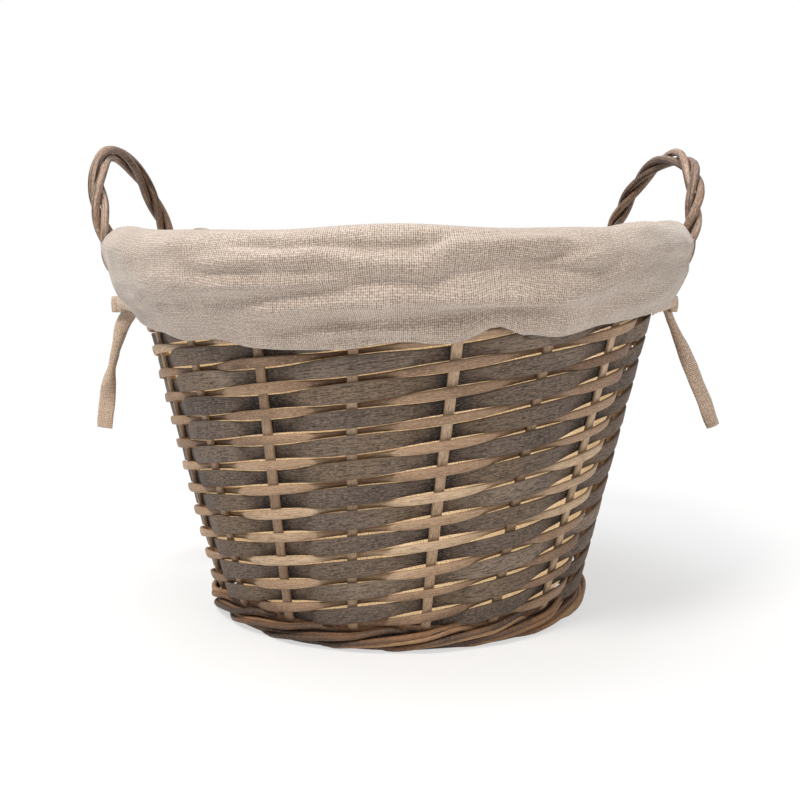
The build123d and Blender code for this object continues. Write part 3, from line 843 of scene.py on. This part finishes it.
def base_strip(first):
    reach = FOOT_INSIDE - BASE_STRIP_WIDTH / 2 - 2 * CLEARANCE
    growth = 2 * BASE_STRIP_PITCH / STAKES
    start = BASE_WEAVE_START + BASE_STRIP_PITCH * first
    count = int((reach - start) / growth) - 1
    bm = straight_stock(count * 8, 12)

    def level(n):
        r = start + growth * n
        over = (n + first) % 2 == 0
        on_tongue = r + BASE_STRIP_WIDTH / 2 + CLEARANCE > TONGUE_TIP
        bearing = (TONGUE_TOP if on_tongue else STICK_TOP) if over else 2 * STICK_MIDDLE - STICK_TOP
        return bearing + strip_stand(r, on_tongue) * (1 if over else -1)

    def place(t, y, z):
        n = t * count
        k = min(int(n), count - 1)
        ease = 0.5 - 0.5 * math.cos(math.pi * (n - k))
        height = level(k) + (level(k + 1) - level(k)) * ease
        r = start + growth * n + squared(z, FLAT_POWER) * BASE_STRIP_WIDTH / 2
        angle = math.radians(STEP_ANGLE * n + BASE_TURN)
        lift = height + squared(y, FLAT_POWER) * BASE_STRIP_THICKNESS / 2
        return Vector((r * math.cos(angle), r * math.sin(angle), lift))

    girth = 2 * (BASE_STRIP_WIDTH + BASE_STRIP_THICKNESS)
    bend_stock(bm, count * math.radians(STEP_ANGLE) * MEAN_WIND_RADIUS, girth, 80 + first, place)
    bmesh.ops.recalc_face_normals(bm, faces=bm.faces)
    return bm


for j in range(2):
    strip = base_strip(j)
    finish_piece(strip, f"wound_base_strip_{j + 1}", SPLIT, "split_willow_stake", f"base_strip_{j + 1}")
print("with the base:", len(pieces))

# %% [markdown]
# ## Handles
# Each ear is three rods twisted together and bent into a loop, with its legs hooked in under the rim. The
# rope's middle line comes first, and every rod then turns round it once in its lay length. Real rods are
# uneven, so their thickness and the turn wander a little.

# %% Route of a handle
STRAND_DIAMETER = 0.0052
HANDLE_LEAN = 16.0
HOOK_HEIGHT = 0.2366
HOOK_RADIUS = 0.010
HOOK_END = -0.0044
LOOP_SPANS = 12
STRAND_OFFSET = STRAND_DIAMETER / math.sqrt(3) + 2 * CLEARANCE
LEG_OUT = wale_reach(RIM_ROD, RIM_MIDDLE) + 2 * CLEARANCE + STRAND_OFFSET + STRAND_DIAMETER / 2


def leg_points(u):
    points = [on_side(u, HOOK_HEIGHT, HOOK_END), on_side(u, HOOK_HEIGHT, LEG_OUT - HOOK_RADIUS)]
    for turn in (30, 60, 90):
        a = math.radians(turn)
        rise, out = HOOK_RADIUS * (1 - math.cos(a)), LEG_OUT - HOOK_RADIUS * (1 - math.sin(a))
        points.append(on_side(u, HOOK_HEIGHT + rise, out))
    points.append(on_side(u, HEIGHT, LEG_OUT))
    return points


def handle_route(legs, tall):
    first, second = leg_points(legs[0]), leg_points(legs[1])
    middle, half = (first[-1] + second[-1]) * 0.5, (second[-1] - first[-1]) * 0.5
    outward = Vector((middle.x, middle.y, 0)).normalized()
    lean = math.radians(HANDLE_LEAN)
    rise = (outward * math.sin(lean) + Vector((0, 0, math.cos(lean)))) * (tall / math.cos(lean))
    turns = [math.pi * k / LOOP_SPANS for k in range(1, LOOP_SPANS)]
    loop = [middle - half * math.cos(turn) + rise * math.sin(turn) for turn in turns]
    return Route([*first, *loop, *reversed(second)])


print("handle legs stand out by", round(LEG_OUT, 4))

# %% Twist the handles
RIGHT_LEGS = (-0.83, 1.45)
LEFT_LEGS = (7.57, 9.62)
RIGHT_RISE = 0.0635
LEFT_RISE = 0.0660
RIGHT_LAY = 0.086
LEFT_LAY = 0.098
STRANDS = 3
HANDLE_STEPS = 190
HANDLE_SIDES = 28
WIND_EASE = 0.09
WIND_WANDER = 0.25
HOOK_PARED = 0.3
STRAND_FULL = 0.96
GROOVES = 3.5
GROOVE_DEPTH = 0.16
STRAND_SPREAD = 0.35


def handle_strand(legs, tall, number, lay, seed):
    route = handle_route(legs, tall)
    plane = (route.at(1) - route.at(0)).normalized().cross(Vector((0, 0, 1))).normalized()
    bm = straight_stock(HANDLE_STEPS, HANDLE_SIDES)

    def centre_line(t):
        run = route.run(t)
        side = run.cross(plane).normalized()
        top = side.cross(run).normalized()
        wound = t + WIND_EASE * math.sin(2 * math.pi * t)
        turn = 2 * math.pi * (wound * route.length / lay + number / STRANDS) + drift(seed, t * 5, WIND_WANDER)
        return route.at(t) + (top * math.cos(turn) + side * math.sin(turn)) * STRAND_OFFSET

    middles = [centre_line(k / HANDLE_STEPS) for k in range(HANDLE_STEPS + 1)]

    def place(t, y, z):
        k = round(t * HANDLE_STEPS)
        run = (middles[min(k + 1, HANDLE_STEPS)] - middles[max(k - 1, 0)]).normalized()
        side = run.cross(plane).normalized()
        top = side.cross(run).normalized()
        hook = max(0.0, 1 - min(t, 1 - t) * route.length / (3 * HOOK_RADIUS))
        groove = abs(math.sin(GROOVES * math.atan2(z, y) + 8 * t + drift(seed + 7, t * 6, 2.0)))
        full = STRAND_FULL - HOOK_PARED * hook + drift(seed + 5, t * 8, 0.09) + GROOVE_DEPTH * groove
        radius = STRAND_DIAMETER / 2 * full
        return middles[k] + side * (y * radius) + top * (z * radius)

    bend_stock(bm, route.length * 1.1, math.pi * STRAND_DIAMETER, seed, place, STRAND_SPREAD)
    bmesh.ops.recalc_face_normals(bm, faces=bm.faces)
    return bm


for side, legs, tall, lay, seed in (
    ("right", RIGHT_LEGS, RIGHT_RISE, RIGHT_LAY, 90),
    ("left", LEFT_LEGS, LEFT_RISE, LEFT_LAY, 100),
):
    for j in range(STRANDS):
        strand = handle_strand(legs, tall, j, lay, seed + j)
        finish_piece(strand, f"{side}_ear_rod_{j + 1}", EAR, "handle_willow", f"{side}_handle_strand_{j + 1}")
print("with handles:", len(pieces))

# %% [markdown]
# ## Liner
# The linen bag stands inside the willow: a round floor and a tapered wall. Its mouth is folded out over
# the rim as two skirts, a front and a back one, with a slit at each handle. A grid is the natural start
# for cloth, because its rows and columns are the threads: its flat coordinates are the grain, and each
# point is then carried to where it hangs.

# %% Cloth helpers
CLOTH = 0.0012


def cloth_grid(columns, rows):
    """Flat grid with both coordinates from 0 to 1."""
    bm = bmesh.new()
    bmesh.ops.create_grid(bm, x_segments=columns, y_segments=rows, size=0.5)
    bmesh.ops.translate(bm, verts=bm.verts, vec=(0.5, 0.5, 0))
    return bm


def hang_cloth(bm, width, length, place):
    """Give the cloth its flat coordinates in metres, and carry its points to where they hang."""
    grain = bm.loops.layers.uv.new("grain")
    for face in bm.faces:
        for loop in face.loops:
            loop[grain].uv = (loop.vert.co.x * width, loop.vert.co.y * length)
    for vert in bm.verts:
        vert.co = place(vert.co.x, vert.co.y)


def thicken(piece, thickness, offset):
    """Give a sheet its thickness. An offset of 1 puts it all on the side that the faces look to."""
    solid = piece.modifiers.new("thickness", "SOLIDIFY")
    solid.thickness = thickness
    solid.offset = offset


def cloth_area(piece):
    return sum(face.area for face in piece.data.polygons)


# %% Hang the bag
floor_low, floor_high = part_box("liner_base")
LINER_FLOOR = floor_low[2]
WALL_BELOW_RIM = 0.006
WALL_TOP = HEIGHT - WALL_BELOW_RIM
WALL_OUT = LINER_REACH / math.cos(SLOPE) + CLOTH / 2
BAG_TUCK = 0.0055
BAG_CLOTH = 0.0008
SLACK = 0.0011
RIPPLE = 0.0009
TUCK_END = HOOK_HEIGHT + 0.006
TUCK_FADE = 0.012
WALL_EASE = 1.02


def wall_place(x, y):
    angle = 2 * math.pi * x
    z = LINER_FLOOR + (WALL_TOP - LINER_FLOOR) * y
    slack = SLACK * (1 + math.sin(9 * angle + 3 * math.sin(2 * angle))) * math.sin(math.pi * y)
    ripple = RIPPLE * (1 + noise.noise(Vector((4 * math.cos(angle), 4 * math.sin(angle), 5 * y))))
    filled = min(1.0, 12 * y, max(0.0, (TUCK_END - z) / TUCK_FADE))
    tuck = WALL_OUT - (WALL_OUT - BAG_TUCK) * filled * filled * (3 - 2 * filled)
    r = cone_radius(z) - tuck - slack * 0.4 - ripple * 0.5
    return Vector((r * math.cos(angle), r * math.sin(angle), z))


wall = cloth_grid(180, 36)
WALL_WIDTH = 2 * math.pi * (cone_radius(WALL_TOP) - BAG_TUCK)
WALL_LENGTH = (WALL_TOP - LINER_FLOOR) / math.cos(SLOPE) * WALL_EASE
hang_cloth(wall, WALL_WIDTH, WALL_LENGTH, wall_place)
bmesh.ops.remove_doubles(wall, verts=wall.verts, dist=1e-6)
bmesh.ops.recalc_face_normals(wall, faces=wall.faces)
wall = finish_piece(wall, "bag_wall", LINEN_BAG, "linen", "liner_wall")
thicken(wall, BAG_CLOTH, -1)
print("bag wall area", round(cloth_area(wall), 4))

# %% Lay the bag's floor
FLOOR_RADIUS = (floor_high[0] - floor_low[0]) / 2
FLOOR_LIFT = 0.0005
FLOOR_WAVE = 0.0007
FLOOR_WAVES = 30


def floor_place(x, y):
    square = Vector((2 * x - 1, 2 * y - 1))
    reach = max(abs(square.x), abs(square.y))
    r = FLOOR_RADIUS * reach
    flat = square.normalized() * r if reach > 0 else square
    wave = 1 + noise.noise(Vector((flat.x * FLOOR_WAVES, flat.y * FLOOR_WAVES, 0.2)))
    lift = FLOOR_LIFT + FLOOR_WAVE * wave * (1 - reach**4)
    return Vector((flat.x, flat.y, LINER_FLOOR + lift))


panel = cloth_grid(48, 48)
hang_cloth(panel, 2 * FLOOR_RADIUS, 2 * FLOOR_RADIUS, floor_place)
panel = finish_piece(panel, "bag_floor", LINEN, "linen", "liner_base")
thicken(panel, BAG_CLOTH, -1)
print("bag floor area", round(cloth_area(panel), 4))

# %% [markdown]
# ## Skirts
# Seen from the front, the skirt is a soft roll over the rim that stands out most below the top, with long
# folds that run round the basket, and a wavy hem. Its section is a curve through twelve points. Where
# each point stands depends on the angle round from the front, which is how the roll swells at the left
# and the hem lifts near the slits.

# %% Outline of the skirts
FRONT_SKIRT = (-73.0, 72.0)
BACK_SKIRT = (127.0, 238.5)


def between(stops, x):
    """Smooth value between a few (place, value) stops."""
    if x <= stops[0][0]:
        return stops[0][1]
    for (a, low), (b, high) in zip(stops, stops[1:]):
        if x <= b:
            share = (x - a) / (b - a)
            return low + (high - low) * share * share * (3 - 2 * share)
    return stops[-1][1]


# Stops of an angle round from the front, and of a height or of a distance in metres there.
front_hem = [
    (-73, 0.2125), (-69, 0.2045), (-56, 0.2015), (-46, 0.1978), (-36, 0.2000), (-27, 0.1960),
    (-12, 0.1968), (0, 0.2005), (10, 0.2008), (18, 0.2095), (24, 0.2045), (31, 0.2022),
    (44, 0.2095), (58, 0.2115), (72, 0.2150),
]
back_hem = [
    (127, 0.211), (134, 0.201), (148, 0.195), (162, 0.199), (178, 0.193), (196, 0.198),
    (212, 0.194), (229, 0.200), (238, 0.211),
]
front_bulge = [
    (-73, 0.0200), (-50, 0.0225), (-20, 0.021), (10, 0.020), (40, 0.0210), (72, 0.0198),
]
back_bulge = [
    (127, 0.024), (150, 0.021), (180, 0.022), (212, 0.020), (238, 0.024),
]
front_lift = [
    (-73, 0.0025), (-45, -0.0005), (-25, -0.0018), (0, 0.001), (20, -0.0006), (38, 0.0006),
    (54, 0.005), (72, 0.006),
]
back_lift = [
    (205, 0.0), (224, 0.001), (238, 0.006),
]
print("front skirt from", FRONT_SKIRT[0], "to", FRONT_SKIRT[1], "degrees")

# %% Creases
# A crease: its first and last angle, its first and last drop below the rim, its width and its height.
front_creases = [
    (-34, -11, 0.0165, 0.0100, 0.0038, 0.0018),
    (-14, 7, 0.0100, 0.0200, 0.0038, 0.0020),
    (-28, -6, 0.0080, 0.0045, 0.0035, -0.0026),
    (-7, 7, 0.0070, 0.0045, 0.0040, -0.0036),
    (-36, 7, 0.0215, 0.0265, 0.0042, -0.0030),
    (6, 28, 0.0090, 0.0010, 0.0045, 0.0030),
    (5, 29, 0.0205, 0.0120, 0.0055, -0.0044),
    (19, 35, 0.0155, 0.0125, 0.0030, 0.0022),
    (19, 42, 0.0215, 0.0195, 0.0045, -0.0020),
    (-36, -4, 0.0305, 0.0220, 0.0042, 0.0026),
    (-34, -3, 0.0380, 0.0295, 0.0042, -0.0024),
    (-25, -1, 0.0450, 0.0350, 0.0050, 0.0028),
    (-6, 36, 0.0365, 0.0325, 0.0058, 0.0040),
    (6, 29, 0.0350, 0.0330, 0.0050, 0.0030),
    (-28, -8, 0.0585, 0.0485, 0.0042, -0.0020),
    (-12, 36, 0.0500, 0.0435, 0.0052, -0.0040),
    (6, 29, 0.0480, 0.0450, 0.0045, -0.0034),
    (-14, 5, 0.0545, 0.0540, 0.0030, 0.0040),
    (-12, 4, 0.0605, 0.0600, 0.0030, -0.0034),
    (-64, -40, 0.0230, 0.0140, 0.0060, -0.0024),
    (-64, -38, 0.0410, 0.0270, 0.0055, 0.0018),
    (-64, -36, 0.0490, 0.0360, 0.0055, -0.0016),
    (40, 62, 0.0460, 0.0300, 0.0050, 0.0022),
    (50, 72, 0.0180, 0.0120, 0.0060, -0.0024),
]
BACK_MIDDLE = 182
BACK_SHARE = 0.76
back_creases = [
    (BACK_MIDDLE - BACK_SHARE * end, BACK_MIDDLE - BACK_SHARE * start, last, first, width, height)
    for start, end, first, last, width, height in front_creases
]
CREASE_WANDER = 0.0016
BROAD_RUMPLE = 0.0020
SMALL_RUMPLE = 0.0010


def fold(angle, drop, creases, seed):
    """How far the cloth stands out of its smooth shape at an angle and at a drop below the rim."""
    deep = 0.0
    for start, end, first, last, width, height in creases:
        share = (angle - start) / (end - start)
        fade = max(0.0, min(1.0, 4 * share + 0.5, 4.5 - 4 * share))
        middle = first + (last - first) * share + CREASE_WANDER * math.sin(angle * 0.13 + 300 * first)
        deep += height * fade * fade * (3 - 2 * fade) * math.exp(-(((drop - middle) / width) ** 2))
    deep += BROAD_RUMPLE * noise.noise(Vector((angle * 0.06, drop * 55, seed + 4)))
    deep += SMALL_RUMPLE * noise.noise(Vector((angle * 0.17, drop * 130, seed + 9)))
    return deep


print("creases on each skirt:", len(front_creases))

# %% Shape the skirts
SKIRT_LENGTH = 0.110
SKIRT_CLOTH = 0.0009
SKIRT_STAND = 0.016
SKIRT_COLUMNS = 220
SKIRT_ROWS = 62
END_REACH = 22
RIM_TOP = HEIGHT + 0.0020
OVER = wale_reach(RIM_ROD, RIM_MIDDLE) + LINER_GAP + CLOTH
TOP_STAND = 0.0012
TOP_WAVE = 0.0008
SHOULDER = 0.62
END_SHOULDER = 0.33
SHOULDER_LEVEL = HEIGHT - 0.007
BULGE_LEVEL = HEIGHT - 0.022
WAIST_LEVEL = HEIGHT - 0.037
HEM_STAND = 0.0086
HEM_ROLL = 0.0008
HEM_TURN = 0.0022
FOLD_FROM = 0.002
FOLD_EASE = 0.006
CALM_DROP = 0.005
EDGE_PUCKER = 0.0009
PUCKER_PLACE = 0.0035
PUCKER_WIDTH = 0.0026


def skirt(ends, hems, bulges, lifts, creases, seed):
    """One skirt between two angles, and its width. The stops shape its hem, its bulge and its top."""
    bm = cloth_grid(SKIRT_COLUMNS, SKIRT_ROWS)
    routes = {}

    def column(k):
        angle = ends[0] + (ends[1] - ends[0]) * k / SKIRT_COLUMNS
        hem = between(hems, angle)
        bulge = between(bulges, angle)
        near = max(0.0, 1 - min(angle - ends[0], ends[1] - angle) / END_REACH)
        full = SHOULDER + END_SHOULDER * near * (2 - near)
        wave = TOP_WAVE * noise.noise(Vector((angle * 0.06, 1.7, seed)))
        top = RIM_TOP + TOP_STAND + wave + between(lifts, angle)
        stand = [
            (-OVER, WALL_TOP + 2 * LINER_GAP),
            (CLOTH - OVER, top - 0.001),
            (-0.003, top + 0.0004),
            (0.004, top + 0.0003),
            (OVER - 0.0005, top - 0.0015),
            (OVER + full * (bulge - OVER), SHOULDER_LEVEL + 0.002 * near),
            (bulge, BULGE_LEVEL),
            ((bulge * 2 + HEM_STAND) / 3 + 0.001, WAIST_LEVEL),
            ((bulge + HEM_STAND * 3) / 4 + 0.0008, (WAIST_LEVEL + hem) / 2 - 0.002),
            (HEM_STAND + HEM_ROLL, hem + 0.0012),
            (HEM_STAND - HEM_ROLL, hem),
            (HEM_STAND - HEM_TURN, hem + HEM_TURN),
        ]
        return angle, Route([Vector((cone_radius(z) + out, 0, z)) for out, z in stand], 8)

    def place(x, y):
        k = round(x * SKIRT_COLUMNS)
        if k not in routes:
            routes[k] = column(k)
        angle, route = routes[k]
        point = route.at(1 - y)
        run = route.run(1 - y)
        drop = HEIGHT - point.z
        beyond = (point.x - cone_radius(point.z) - FOLD_FROM) / FOLD_EASE
        calm = min(1.0, max(0.0, drop / CALM_DROP)) * min(1.0, 0.35 + y * 4) * min(1.0, max(0.0, beyond))
        edge = math.radians(min(angle - ends[0], ends[1] - angle)) * point.x
        pucker = EDGE_PUCKER * math.exp(-(((edge - PUCKER_PLACE) / PUCKER_WIDTH) ** 2))
        push = fold(angle, drop, creases, seed) * calm + pucker
        r, z = point.x - run.z * push, point.z + run.x * push
        turn = math.radians(angle - 90)
        return Vector((r * math.cos(turn), r * math.sin(turn), z))

    width = math.radians(ends[1] - ends[0]) * (RIM_RADIUS + SKIRT_STAND)
    hang_cloth(bm, width, SKIRT_LENGTH, place)
    bmesh.ops.recalc_face_normals(bm, faces=bm.faces)
    return bm, width


for name, ends, hems, bulges, lifts, creases, seed in (
    ("front", FRONT_SKIRT, front_hem, front_bulge, front_lift, front_creases, 0.0),
    ("back", BACK_SKIRT, back_hem, back_bulge, back_lift, back_creases, 3.0),
):
    flap, width = skirt(ends, hems, bulges, lifts, creases, seed)
    flap = finish_piece(flap, f"{name}_skirt", LINEN, "linen", f"liner_{name}_skirt")
    thicken(flap, SKIRT_CLOTH, 0)
    cloth_area(flap)
    print(name, "skirt area", round(cloth_area(flap), 4))

# %% [markdown]
# ## Ties
# A ribbon of the same linen runs from each end of a skirt, and the two are knotted in front of the
# handle's legs. The tails hang free and stand a little away from the side, because linen ribbon is stiff.
# Each is a narrow grid that is carried along a route, and turned by the way that its flat side faces.

# %% A ribbon along a route
TIE_WIDTH = 0.0115
TIE_WAVE = 0.0009
LEAST_ROLL = 0.05


def tie_point(angle, z, out):
    r = cone_radius(z) + out
    return Vector((r * math.cos(math.radians(angle)), r * math.sin(math.radians(angle)), z))


def facing(angle):
    return Vector((math.cos(math.radians(angle)), math.sin(math.radians(angle)), 0))


def ribbon(bm, points, faces, rolls, seed):
    """Add a ribbon along a route. faces says where its flat side looks, and rolls how far it curls across."""
    route = Route(points)
    made = cloth_grid(60, 8)

    def blend(row, x):
        k = min(int(x * (len(row) - 1)), len(row) - 2)
        share = x * (len(row) - 1) - k
        return row[k] * (1 - share) + row[k + 1] * share

    def place(x, y):
        run = route.run(x)
        across = run.cross(blend(faces, x)).normalized()
        flat = across.cross(run).normalized()
        roll = max(LEAST_ROLL, blend(rolls, x))
        radius = TIE_WIDTH / roll
        turn = (y - 0.5) * roll
        sag = radius * (math.cos(turn) - 1) + drift(seed, x * 7, TIE_WAVE)
        return route.at(x) + across * (radius * math.sin(turn)) + flat * sag

    hang_cloth(made, route.length, TIE_WIDTH, place)
    join(bm, made)
    return route.length


# %% Straps, tails and knots
TIE_HEIGHT = 0.216
TIE_STAND = 0.0064
TAIL_START = 0.004
TAIL_DROP = 0.092
KNOT_HALF = 0.0036
KNOT_SINK = 0.001
STRAP_ROLLS = [0.3, 0.8, 1.8]
KNOT_ROLLS = [0.8, 0.5, 0.5, 0.8]


def strap(bm, start, end, knot_out, seed):
    """Part that runs from the end of a skirt out to the knot."""
    spans = 6
    points = []
    faces = []
    for k in range(spans + 1):
        share = k / spans
        angle = start + (end - start) * share
        out = TIE_STAND + (knot_out - TIE_STAND) * share**2.5
        points.append(tie_point(angle, TIE_HEIGHT, out))
        faces.append(facing(angle) - Vector((0, 0, math.tan(SLOPE))))
    return ribbon(bm, points, faces, STRAP_ROLLS, seed)


def tail(bm, angle, face, out, swing, power, share, rolls, seed):
    """Free end. It swings from out to swing away from the side; power says how soon."""
    spans = 8
    points = []
    for k in range(spans + 1):
        hang = out + (swing - out) * share * (k / spans) ** power
        height = TIE_HEIGHT - TAIL_START - (TAIL_DROP - TAIL_START) * share * k / spans
        points.append(tie_point(angle, height, hang))
    return ribbon(bm, points, [facing(a) for a in face], rolls, seed)


def knot(bm, angle, out, loop, seed):
    """A short loop of ribbon drawn tight round the straps, with its flat side to the front."""
    centre = tie_point(angle, TIE_HEIGHT - KNOT_SINK, out - KNOT_SINK)
    outward = facing(angle)
    across = outward.cross(Vector((0, 0, 1)))
    turns = [math.radians(t) for t in range(-170, 171, 20)]
    points = [centre + outward * (loop * math.cos(t)) + across * (KNOT_HALF * math.sin(t)) for t in turns]
    faces = [outward * math.cos(t) + across * math.sin(t) for t in turns]
    return ribbon(bm, points, faces, KNOT_ROLLS, seed)


# %% Tie the ribbons
TIE_LAP = 4.0
TIE_THICKNESS = 0.001
TIE_CLOTH = 0.0007
KNOT_STAND = 0.020
KNOT_SHARE = 0.34
KNOT_DEPTH = 0.007
FRONT_TAIL_SPREAD = 0.6
BACK_TAIL_SPREAD = 3.5
BACK_TAIL_SHARE = 0.8
BACK_TAIL_OUT = 0.004
BACK_TAIL_SWING = 0.006
BACK_TAIL_TURN = 20
BACK_TAIL_ROLLS = [4.0, 3.0, 2.0, 1.4]


def ties(side, front_end, back_end, inset, swing, power, loop, faces, rolls, seed):
    """The two ribbons at one handle. way is the direction round from the front one to the back one."""
    way = 1 if back_end > front_end else -1
    middle = front_end + (back_end - front_end) * KNOT_SHARE
    rise = TIE_THICKNESS + LINER_GAP + KNOT_DEPTH / 2
    front_out = KNOT_STAND + rise
    front = bmesh.new()
    drop = middle + FRONT_TAIL_SPREAD * way
    length = strap(front, front_end - TIE_LAP * way, middle - way, front_out, seed)
    length += tail(front, drop, faces, front_out - inset, swing, power, 1, rolls, seed + 1)
    length += knot(front, middle, front_out, loop, seed + 2)
    back = bmesh.new()
    fall = middle + BACK_TAIL_SPREAD * way
    back_length = strap(back, back_end + TIE_LAP * way, fall, KNOT_STAND, seed + 3)
    behind = [fall, fall - BACK_TAIL_TURN * way, fall - 2 * BACK_TAIL_TURN * way]
    start = front_out - inset + BACK_TAIL_OUT
    reach = swing + BACK_TAIL_SWING
    back_length += tail(back, fall, behind, start, reach, power, BACK_TAIL_SHARE, BACK_TAIL_ROLLS, seed + 4)
    for end, bm, run in (("front", front, length), ("back", back, back_length)):
        piece = finish_piece(bm, f"{side}_{end}_ribbon", LINEN_TIE, "linen_tie", f"{side}_{end}_tie")
        thicken(piece, TIE_CLOTH, 0)


ties(
    "right",
    front_end=FRONT_SKIRT[1] - 90,
    back_end=BACK_SKIRT[0] - 90,
    inset=0.004,
    swing=0.079,
    power=1.0,
    loop=0.0035,
    faces=[-80, -95, -70, -88],
    rolls=[4.4, 4.0, 2.4, 1.0, 0.4, 0.8, 2.2],
    seed=110,
)
ties(
    "left",
    front_end=FRONT_SKIRT[0] + 270,
    back_end=BACK_SKIRT[1] - 90,
    inset=0.008,
    swing=0.060,
    power=0.72,
    loop=0.0062,
    faces=[260, 275, 300, 262],
    rolls=[1.0, 1.6, 3.6, 4.6, 1.2, 0.3, 0.5],
    seed=120,
)
print("pieces in all:", len(pieces))

# %% [markdown]
# ## Floor, light and camera
# The floor is pale and wide, and fades to white away from the basket, as studio paper does. A warm lamp
# from the upper left and a weaker warm one from the right give soft shade under the roll of cloth. A cool
# one overhead lights the top of the cloth, and a dim white world fills in the rest.

# %% Floor and world
STUDIO_HALF = 4.0
PAPER = (0.86, 0.86, 0.86, 1.0)
WHITE = (1, 1, 1, 1)
DIM = 0.20
PAPER_FADE = (0.2, 0.9)

bm = bmesh.new()
bmesh.ops.create_grid(bm, x_segments=8, y_segments=8, size=STUDIO_HALF)
mesh = bpy.data.meshes.new("studio_floor")
bm.to_mesh(mesh)
bm.free()
studio_floor = bpy.data.objects.new("studio_floor", mesh)
bpy.context.scene.collection.objects.link(studio_floor)


def seen_directly(finish):
    """1 for rays that see the backdrop itself, straight on or in gloss or glass."""
    rays = ("Is Camera Ray", "Is Glossy Ray", "Is Transmission Ray")
    straight, gloss, glass = [finish.node("ShaderNodeLightPath", {}, {}, ray) for ray in rays]
    return (straight + gloss + glass).step(0.0, 1.0)


material, finish, shader = new_finish("studio_paper")
shader.inputs["Base Color"].default_value = PAPER
shader.inputs["Roughness"].default_value = 0.9
place = finish.node("ShaderNodeTexCoord", {}, {}, "Object")
away = finish.node("ShaderNodeVectorMath", {"operation": "LENGTH"}, {0: place}, "Value").step(*PAPER_FADE)
white = finish.node("ShaderNodeEmission", {}, {"Color": WHITE, "Strength": 1.0})
share = seen_directly(finish) * (away * 0.4 + 0.6)
paper = finish.node("ShaderNodeMixShader", {}, {0: share, 1: Number(finish, shader.outputs[0]), 2: white})
finish.feed(material.node_tree.nodes["Material Output"].inputs["Surface"], paper)
mesh.materials.append(material)

world = bpy.data.worlds.new("studio_world")
world.use_nodes = True
bpy.context.scene.world = world
sky = Finish(world.node_tree)
fill = sky.node("ShaderNodeBackground", {}, {"Color": WHITE, "Strength": DIM})
bright = sky.node("ShaderNodeBackground", {}, {"Color": WHITE, "Strength": 1.0})
both = sky.node("ShaderNodeMixShader", {}, {0: seen_directly(sky), 1: fill, 2: bright})
sky.feed(world.node_tree.nodes["World Output"].inputs["Surface"], both)
print("floor:", studio_floor.name, "world:", world.name)

# %% Lamps and camera
LAMP_AIM = Vector((0, 0, 0.15))
WARM = (1.0, 0.95, 0.89)
COOL = (0.96, 0.98, 1.0)
CAMERA_TILT = 7.38


def lamp(name, place, size, power, tint):
    data = bpy.data.lights.new(name, "AREA")
    data.size = size
    data.energy = power
    data.color = tint
    obj = bpy.data.objects.new(name, data)
    obj.location = place
    obj.rotation_euler = (LAMP_AIM - Vector(place)).to_track_quat("-Z", "Y").to_euler()
    bpy.context.scene.collection.objects.link(obj)


lamp("key_lamp", place=(-0.85, -1.25, 2.1), size=0.6, power=49, tint=WARM)
lamp("fill_lamp", place=(1.3, -1.5, 0.8), size=1.2, power=12, tint=WARM)
lamp("top_lamp", place=(-0.2, 0.1, 1.9), size=1.2, power=27, tint=COOL)

camera = bpy.data.cameras.new("camera")
camera.sensor_width = 36.0
camera.lens = 49.98
camera.shift_x = 0.0029
view = bpy.data.objects.new("camera", camera)
view.location = (0.0, -0.8104, 0.2496)
view.rotation_euler = (math.radians(90 - CAMERA_TILT), 0.0, 0.0)
bpy.context.scene.collection.objects.link(view)
bpy.context.scene.camera = view
bpy.context.scene.view_settings.view_transform = "Standard"
print("camera at", [round(c, 4) for c in view.location])
